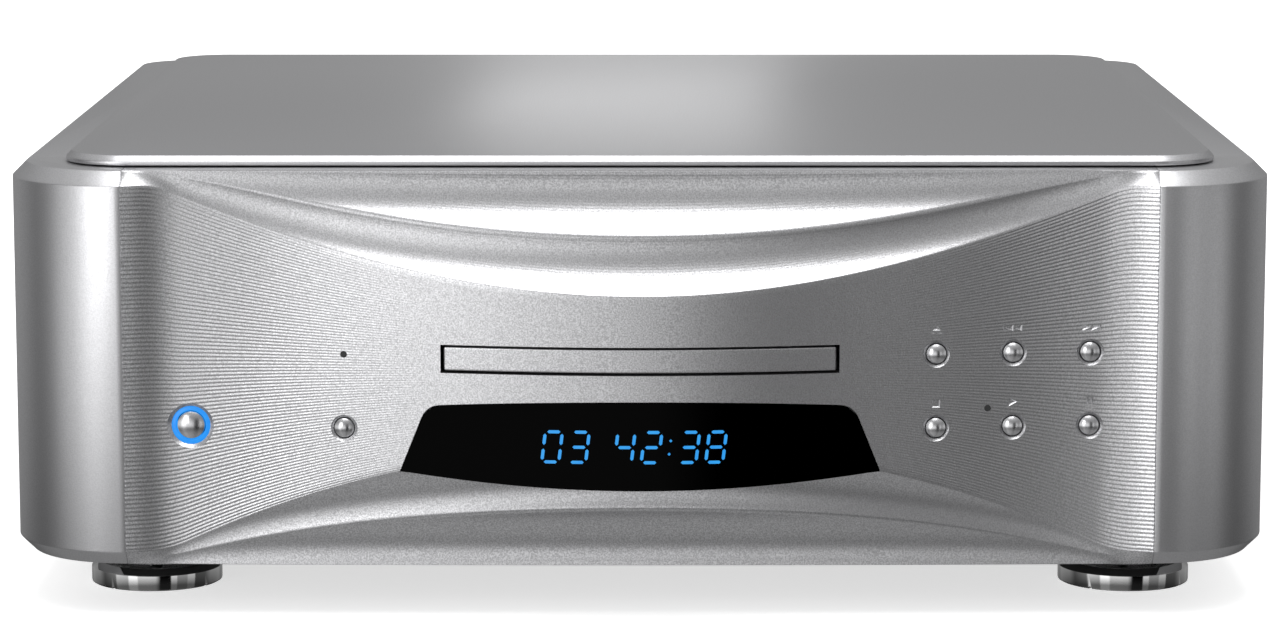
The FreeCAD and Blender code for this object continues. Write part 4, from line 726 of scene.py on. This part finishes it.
def front_panel():
    front = SEAM_Y - FRONT_BULGE - 2
    rear = SEAM_Y + FASCIA_BACK + 2
    openings = [
        block((-SLOT_HALF, front, SLOT_BOTTOM), (SLOT_HALF, rear, SLOT_TOP)),
        prism(window_outline(0.15), front, SEAM_Y + WINDOW_BACK),
    ]
    bevels = []
    bores = []
    signs = []
    for name, (x, z) in BUTTON_SPOTS.items():
        depth = SEAM_Y + face_back(x)
        bevels.append(turned_to_face(lathe([(0, -1), (5.75, -1), (3.75, 1), (0, 1)], (x, depth, z)), x, z))
        bores.append(lathe([(0, -3), (3.8, -3), (3.8, 40), (0, 40)], (x, depth, z)))
        signs += [engraving(x, z + MARK_RISE, corners) for corners in MARKS.get(name, ())]
    for x, z in LAMP_SPOTS:
        bores.append(lathe([(0, -3), (1.2, -3), (1.2, 40), (0, 40)], (x, SEAM_Y + face_back(x), z), 24))
    x, z = STANDBY_SPOT
    depth = SEAM_Y + face_back(x)
    bevels.append(turned_to_face(lathe([(0, -1), (9.0, -1), (6.8, 1), (0, 1)], (x, depth, z), 64), x, z))
    bores.append(lathe([(0, -3), (6.8, -3), (6.8, 5.2), (5.1, 5.2), (5.1, 40), (0, 40)], (x, depth, z), 64))
    bm = panel_mesh()
    for cutters in (openings + bevels + signs, bores):
        mesh = cut_from("front_panel", bm, cutters)
        mesh.validate()
        bm = bmesh.new()
        bm.from_mesh(mesh)
        bmesh.ops.remove_doubles(bm, verts=bm.verts, dist=mm(0.001))
        bmesh.ops.dissolve_degenerate(bm, edges=bm.edges, dist=mm(0.001))
    return finish_piece("front_panel", bm, "casing", "satin_aluminium", MATERIALS["lined_aluminium"],
                        panel_crease, ("front_fascia",))


BUTTON_RADIUS = 3.5
STANDBY_RADIUS = 4.8
BUTTON_CROWN = 1.3
STEM_END = SEAM_Y + FASCIA_BACK + 1


def domed_button(name, radius, x, z, front):
    """A button that is turned with a domed crown, on the stem that reaches back to its switch."""
    profile = arc(radius, BUTTON_CROWN, 0.3) + [(radius, STEM_END - front), (0, STEM_END - front)]
    finish_piece(f"{name}_turned", lathe(profile, (x, front, z)), name, SLOT_OF[name],
                 MATERIALS["turned_aluminium"], 30.0, (name,))


def front_controls():
    """The buttons, and the lit ring that sits in the floor of its recess."""
    for name, (x, z) in BUTTON_SPOTS.items():
        domed_button(name, BUTTON_RADIUS, x, z, SEAM_Y + face_back(x) - 0.5)
    x, z = STANDBY_SPOT
    face = SEAM_Y + face_back(x)
    domed_button("standby_button", STANDBY_RADIUS, x, z, face - 0.2)
    ring = [(5.1, 5.2), (5.1, 1.5), (5.3, 1.25), (6.5, 1.25), (6.8, 1.6), (6.8, 5.2), (5.1, 5.2)]
    finish_piece("light_ring_guide", lathe(ring, (x, face, z), 64), "casing", "blue_light", None, 50.0,
                 ("light_ring",))


# Numerals of the display, as seven bars each

BARS = {"top": ((0, 2), (1, 2)), "high_left": ((0, 1), (0, 2)), "high_right": ((1, 1), (1, 2)),
        "middle": ((0, 1), (1, 1)), "low_left": ((0, 0), (0, 1)), "low_right": ((1, 0), (1, 1)),
        "bottom": ((0, 0), (1, 0))}
UNLIT = {"0": ("middle",), "3": ("high_left", "low_left"), "4": ("top", "low_left", "bottom"),
         "2": ("high_left", "low_right"), "8": (), "6": ("high_right",)}
DIGIT_WIDTH = 5.9
DIGIT_HEIGHT = 10.6
DIGIT_PITCH = 9.3
DIGIT_SLANT = 0.12
DISPLAY_Z = 63.9


def light_bar(bm, start, end, half):
    """A pointed bar between two places on the window, bent to the window's face."""
    along = (end - start).normalized()
    across = Vector((-along.y, along.x)) * half
    start = start + along * half * 1.25
    end = end - along * half * 1.25
    corners = [start, start + along * half + across, end - along * half + across, end,
               end - along * half - across, start + along * half - across]
    verts = [bm.verts.new((mm(p.x), mm(SEAM_Y + face_back(p.x) + 0.005), mm(p.y))) for p in corners]
    made = bmesh.ops.extrude_face_region(bm, geom=[bm.faces.new(verts)])["geom"]
    moved = [item for item in made if isinstance(item, bmesh.types.BMVert)]
    bmesh.ops.translate(bm, verts=moved, vec=(0, mm(0.1), 0))


def numerals(text, left):
    """The display's digits, drawn leaning a little, from a left edge."""
    bm = bmesh.new()
    place = left
    for sign in text:
        if sign in UNLIT:
            for name, ends in BARS.items():
                if name not in UNLIT[sign]:
                    corners = [Vector((place + DIGIT_WIDTH * x + DIGIT_SLANT * DIGIT_HEIGHT * (z / 2),
                                       DISPLAY_Z + DIGIT_HEIGHT * (z / 2 - 0.5))) for x, z in ends]
                    light_bar(bm, *corners, 0.55)
            place += DIGIT_PITCH
        elif sign == " ":
            place += DIGIT_PITCH * 0.7
        else:
            for z in (-0.22, 0.22):
                spot = Vector((place + DIGIT_SLANT * DIGIT_HEIGHT * (z + 0.5), DISPLAY_Z + DIGIT_HEIGHT * z))
                light_bar(bm, spot - Vector((1.3, 0)), spot + Vector((1.3, 0)), 0.6)
            place += DIGIT_PITCH * 0.4
    bmesh.ops.recalc_face_normals(bm, faces=bm.faces)
    finish_piece("display_digits", bm, "casing", "blue_light", MATERIALS["digit_light"])


# Feet

FOOT_SPOTS = [(x, y) for y in (-139.5, 153.5) for x in (-177.0, 177.0)]
SAUCER_RADIUS = 23.8
COLLAR_RADIUS = 20.0


def feet():
    """Polished saucers with four small notches under their rim, and knurled collars above them."""
    saucer = [(0, 0), (23.2, 0), (23.7, 0.3), (23.8, 0.8), (23.8, 5.55), (23.7, 5.8), (21.6, 7.9), (21.4, 8),
              (19.5, 8), (19.2, 7.6), (17.5, 4), (0, 4)]
    notches = []
    for number in range(4):
        turn = math.radians(54 + 90 * number)
        bm = lathe([(0, -3), (0.8, -3), (0.8, 3), (0, 3)], (0, 0, 0), 16)
        bmesh.ops.rotate(bm, verts=bm.verts, cent=(0, 0, 0), matrix=Matrix.Rotation(turn, 3, "Z"))
        reach = mm(SAUCER_RADIUS)
        bmesh.ops.translate(bm, verts=bm.verts, vec=(-reach * math.sin(turn), reach * math.cos(turn), mm(0.2)))
        notches.append(bm)
    mesh = cut_from("saucer", lathe(saucer, (0, 0, 0), 96, "Z"), notches)
    saucers = []
    for x, y in FOOT_SPOTS:
        bm = bmesh.new()
        bm.from_mesh(mesh)
        bmesh.ops.translate(bm, verts=bm.verts, vec=(mm(x), mm(y), 0))
        saucers.append(bm)
    finish_piece("foot_saucers_polished", joined(saucers), "casing", "polished_steel", None, 20.0,
                 ("foot_saucers",))
    collar = [(2.5, 9.0), (19.2, 9.0), (19.7, 9.5), (COLLAR_RADIUS, 10.0), (COLLAR_RADIUS, 18.6), (19.7, 19.0),
              (2.5, 19.0), (2.5, 9.0)]
    collars = [lathe(collar, (x, y, 0), 72, "Z") for x, y in FOOT_SPOTS]
    finish_piece("foot_collars_knurled", joined(collars), "casing", "knurled_steel", None, 30.0,
                 ("foot_collars",))


# Camera, light and floor

CAMERA_DISTANCE = 1488.0
CAMERA_HEIGHT = 332.5
CAMERA_PITCH = 8.64
FOCAL_LENGTH = 121.9


def camera():
    data = bpy.data.cameras.new("view")
    data.lens = FOCAL_LENGTH
    data.sensor_width = 36.0
    data.clip_start = 0.05
    item = bpy.data.objects.new("view", data)
    item.location = (0, mm(SEAM_Y - CAMERA_DISTANCE), mm(CAMERA_HEIGHT))
    item.rotation_euler = (math.radians(90 - CAMERA_PITCH), 0, 0)
    bpy.context.scene.collection.objects.link(item)
    bpy.context.scene.camera = item


def area_light(name, spot, target, size, power):
    data = bpy.data.lights.new(name, "AREA")
    data.shape = "RECTANGLE"
    data.size, data.size_y = size
    data.energy = power
    item = bpy.data.objects.new(name, data)
    item.location = spot
    item.rotation_euler = (Vector(target) - Vector(spot)).to_track_quat("-Z", "Y").to_euler()
    bpy.context.scene.collection.objects.link(item)


# The studio's brightness by the compass round the object: 0 is in front, minus to the left
STUDIO = ((-180, 0.34), (-158, 0.24), (-145, 0.4), (-115, 0.34), (-100, 0.12), (-73, 0.3), (-71, 1.1), (-47, 0.9),
          (-46, 2.2), (-30, 2.2), (-28, 1.2), (-10, 1.2), (3, 1.1), (8, 0.5), (11, 0.0), (30, 0.0),
          (31, 1.1), (41, 1.1), (42, 0.45), (61, 0.45), (62, 0.8), (76, 0.8), (77, 0.1), (100, 0.12), (115, 0.34),
          (145, 0.4), (158, 0.24), (180, 0.34))
STUDIO_PEAK = 3.0
STUDIO_ROOF = (0.12, 0.62)
STUDIO_FLOOR = 0.02
STUDIO_TABLE = 0.3


def studio():
    world = bpy.data.worlds.new("studio")
    bpy.context.scene.world = world
    world.use_nodes = True
    tree = world.node_tree
    background = tree.nodes["Background"]
    path = node(tree, "ShaderNodeLightPath")
    direction = node(tree, "ShaderNodeTexCoord").outputs["Generated"]
    split = node(tree, "ShaderNodeSeparateXYZ", None, {0: direction})
    # Metal shows the studio all round: a softbox and a strip lamp, black cards, and the pale backdrop.
    front = node(tree, "ShaderNodeMath", {"operation": "MULTIPLY", 1: -1.0}, {0: split.outputs[1]})
    azimuth = node(tree, "ShaderNodeMath", {"operation": "ARCTAN2"}, {0: split.outputs[0], 1: front.outputs[0]})
    turn = node(tree, "ShaderNodeMapRange", {1: -math.pi, 2: math.pi}, {0: azimuth.outputs[0]})
    studio_ring = node(tree, "ShaderNodeValToRGB", None, {0: turn.outputs[0]})
    stops = studio_ring.color_ramp.elements
    while len(stops) < len(STUDIO):
        stops.new(0.5)
    for stop, (degrees, level) in zip(stops, STUDIO):
        stop.position = degrees / 360 + 0.5
        stop.color = (level / STUDIO_PEAK, level / STUDIO_PEAK, level / STUDIO_PEAK, 1)
    # In front the roof grows brighter overhead, the floor is dark, and the table lit again.
    roof = node(tree, "ShaderNodeMapRange", {1: 0.1, 2: 0.75, 3: STUDIO_ROOF[0] / STUDIO_PEAK,
                                             4: STUDIO_ROOF[1] / STUDIO_PEAK}, {0: split.outputs[2]})
    steep = node(tree, "ShaderNodeMapRange", {1: 0.02, 2: 0.38}, {0: split.outputs[2]})
    ahead = node(tree, "ShaderNodeMapRange", {1: 0.2, 2: -0.3}, {0: split.outputs[1]})
    near = node(tree, "ShaderNodeMath", {"operation": "MULTIPLY"}, {0: steep.outputs[0], 1: ahead.outputs[0]})
    above = node(tree, "ShaderNodeMapRange", {1: 0.22, 2: 0.45}, {0: split.outputs[2]})
    share = node(tree, "ShaderNodeMath", {"operation": "MAXIMUM"}, {0: near.outputs[0], 1: above.outputs[0]})
    high = node(tree, "ShaderNodeMix", {"data_type": "FLOAT"},
                {0: share.outputs[0], 2: studio_ring.outputs[0], 3: roof.outputs[0]})
    table = node(tree, "ShaderNodeMapRange", {1: -0.42, 2: -0.7, 3: STUDIO_FLOOR / STUDIO_PEAK,
                                              4: STUDIO_TABLE / STUDIO_PEAK}, {0: split.outputs[2]})
    low = node(tree, "ShaderNodeMapRange", {1: -0.2, 2: -0.34, 4: 0.85}, {0: split.outputs[2]})
    lit = node(tree, "ShaderNodeMix", {"data_type": "FLOAT"},
               {0: low.outputs[0], 2: high.outputs[0], 3: table.outputs[0]})
    level = node(tree, "ShaderNodeMath", {"operation": "MULTIPLY", 1: STUDIO_PEAK}, {0: lit.outputs[0]})
    # The backdrop is white for the eye, also through glass.
    shown = node(tree, "ShaderNodeMath", {"operation": "MAXIMUM"},
                 {0: path.outputs["Is Camera Ray"], 1: path.outputs["Is Transmission Ray"]})
    seen = node(tree, "ShaderNodeMix", {"data_type": "FLOAT", 3: 1.0},
                {0: shown.outputs[0], 2: level.outputs[0]})
    tree.links.new(seen.outputs[0], background.inputs["Strength"])
    background.inputs["Color"].default_value = (1, 1, 1, 1)
    area_light("overhead_softbox", (0, -0.45, 1.15), (0, -0.25, 0.1), (0.9, 0.9), 8)
    area_light("left_softbox", (-0.85, -1.55, 0.5), (0, -0.2, 0.09), (0.5, 0.8), 5)
    area_light("rear_softbox", (0, 0.95, 0.42), (0, 0.1, 0.16), (0.2, 0.25), 0.15)


def floor():
    bm = bmesh.new()
    bmesh.ops.create_grid(bm, x_segments=1, y_segments=1, size=6.0)
    mesh = bpy.data.meshes.new("floor")
    bm.to_mesh(mesh)
    bm.free()
    item = bpy.data.objects.new("floor", mesh)
    bpy.context.scene.collection.objects.link(item)
    material, tree, shader = new_material("pale_floor")
    shader.inputs["Base Color"].default_value = linear("#F2F2F2")
    shader.inputs["Roughness"].default_value = 0.9
    path = node(tree, "ShaderNodeLightPath")
    # The floor fades to white away from the object, where a photograph has no edge of a table.
    place = node(tree, "ShaderNodeTexCoord").outputs["Object"]
    distance = node(tree, "ShaderNodeVectorMath", {"operation": "LENGTH"}, {0: place})
    fade = node(tree, "ShaderNodeMapRange", {1: 0.35, 2: 1.2, 3: 0.66, 4: 1.0}, {0: distance.outputs[1]})
    amount = node(tree, "ShaderNodeMath", {"operation": "MULTIPLY"},
                  {0: fade.outputs[0], 1: path.outputs["Is Camera Ray"]})
    shader.inputs["Emission Color"].default_value = (1, 1, 1, 1)
    tree.links.new(amount.outputs[0], shader.inputs["Emission Strength"])
    # Metal and glass look through the floor at the studio and the backdrop, which the world draws.
    clear = node(tree, "ShaderNodeBsdfTransparent")
    through = node(tree, "ShaderNodeMath", {"operation": "MAXIMUM"},
                   {0: path.outputs["Is Glossy Ray"], 1: path.outputs["Is Transmission Ray"]})
    mixed = node(tree, "ShaderNodeMixShader", None,
                 {0: through.outputs[0], 1: shader.outputs[0], 2: clear.outputs[0]})
    tree.links.new(mixed.outputs[0], tree.nodes["Material Output"].inputs["Surface"])
    mesh.materials.append(material)


bpy.context.scene.view_settings.view_transform = "Standard"
camera()
studio()
floor()
front_panel()
front_controls()
tray_door()
numerals("03 42:38", -34.0)
feet()
EDGES = {
    "left_front_corner": 0.3, "right_front_corner": 0.3, "left_side_panel": 0.3, "right_side_panel": 0.3,
    "top_plate": 0.25, "top_deck": 0.3, "bottom_plate": 0.3, "rear_panel": 0.3,
    "disc_tray": 0.25, "balanced_sockets": 0.2, "mains_inlet": 0.2, "optical_port": 0.15,
    "phono_sockets": 0.15, "clock_socket": 0.12, "ground_terminal": 0.2, "case_screws": 0.1,
}
for name, bevel in EDGES.items():
    softened_copy(name, bevel)
window = softened_copy("display_window", flat=0.02)
window.data.transform(Matrix.Translation((0, mm(0.06), 0)))
for name, item in frame["nodes"].items():
    item.data.materials.clear()
    item.data.materials.append(MATERIALS[SLOT_OF[name]])
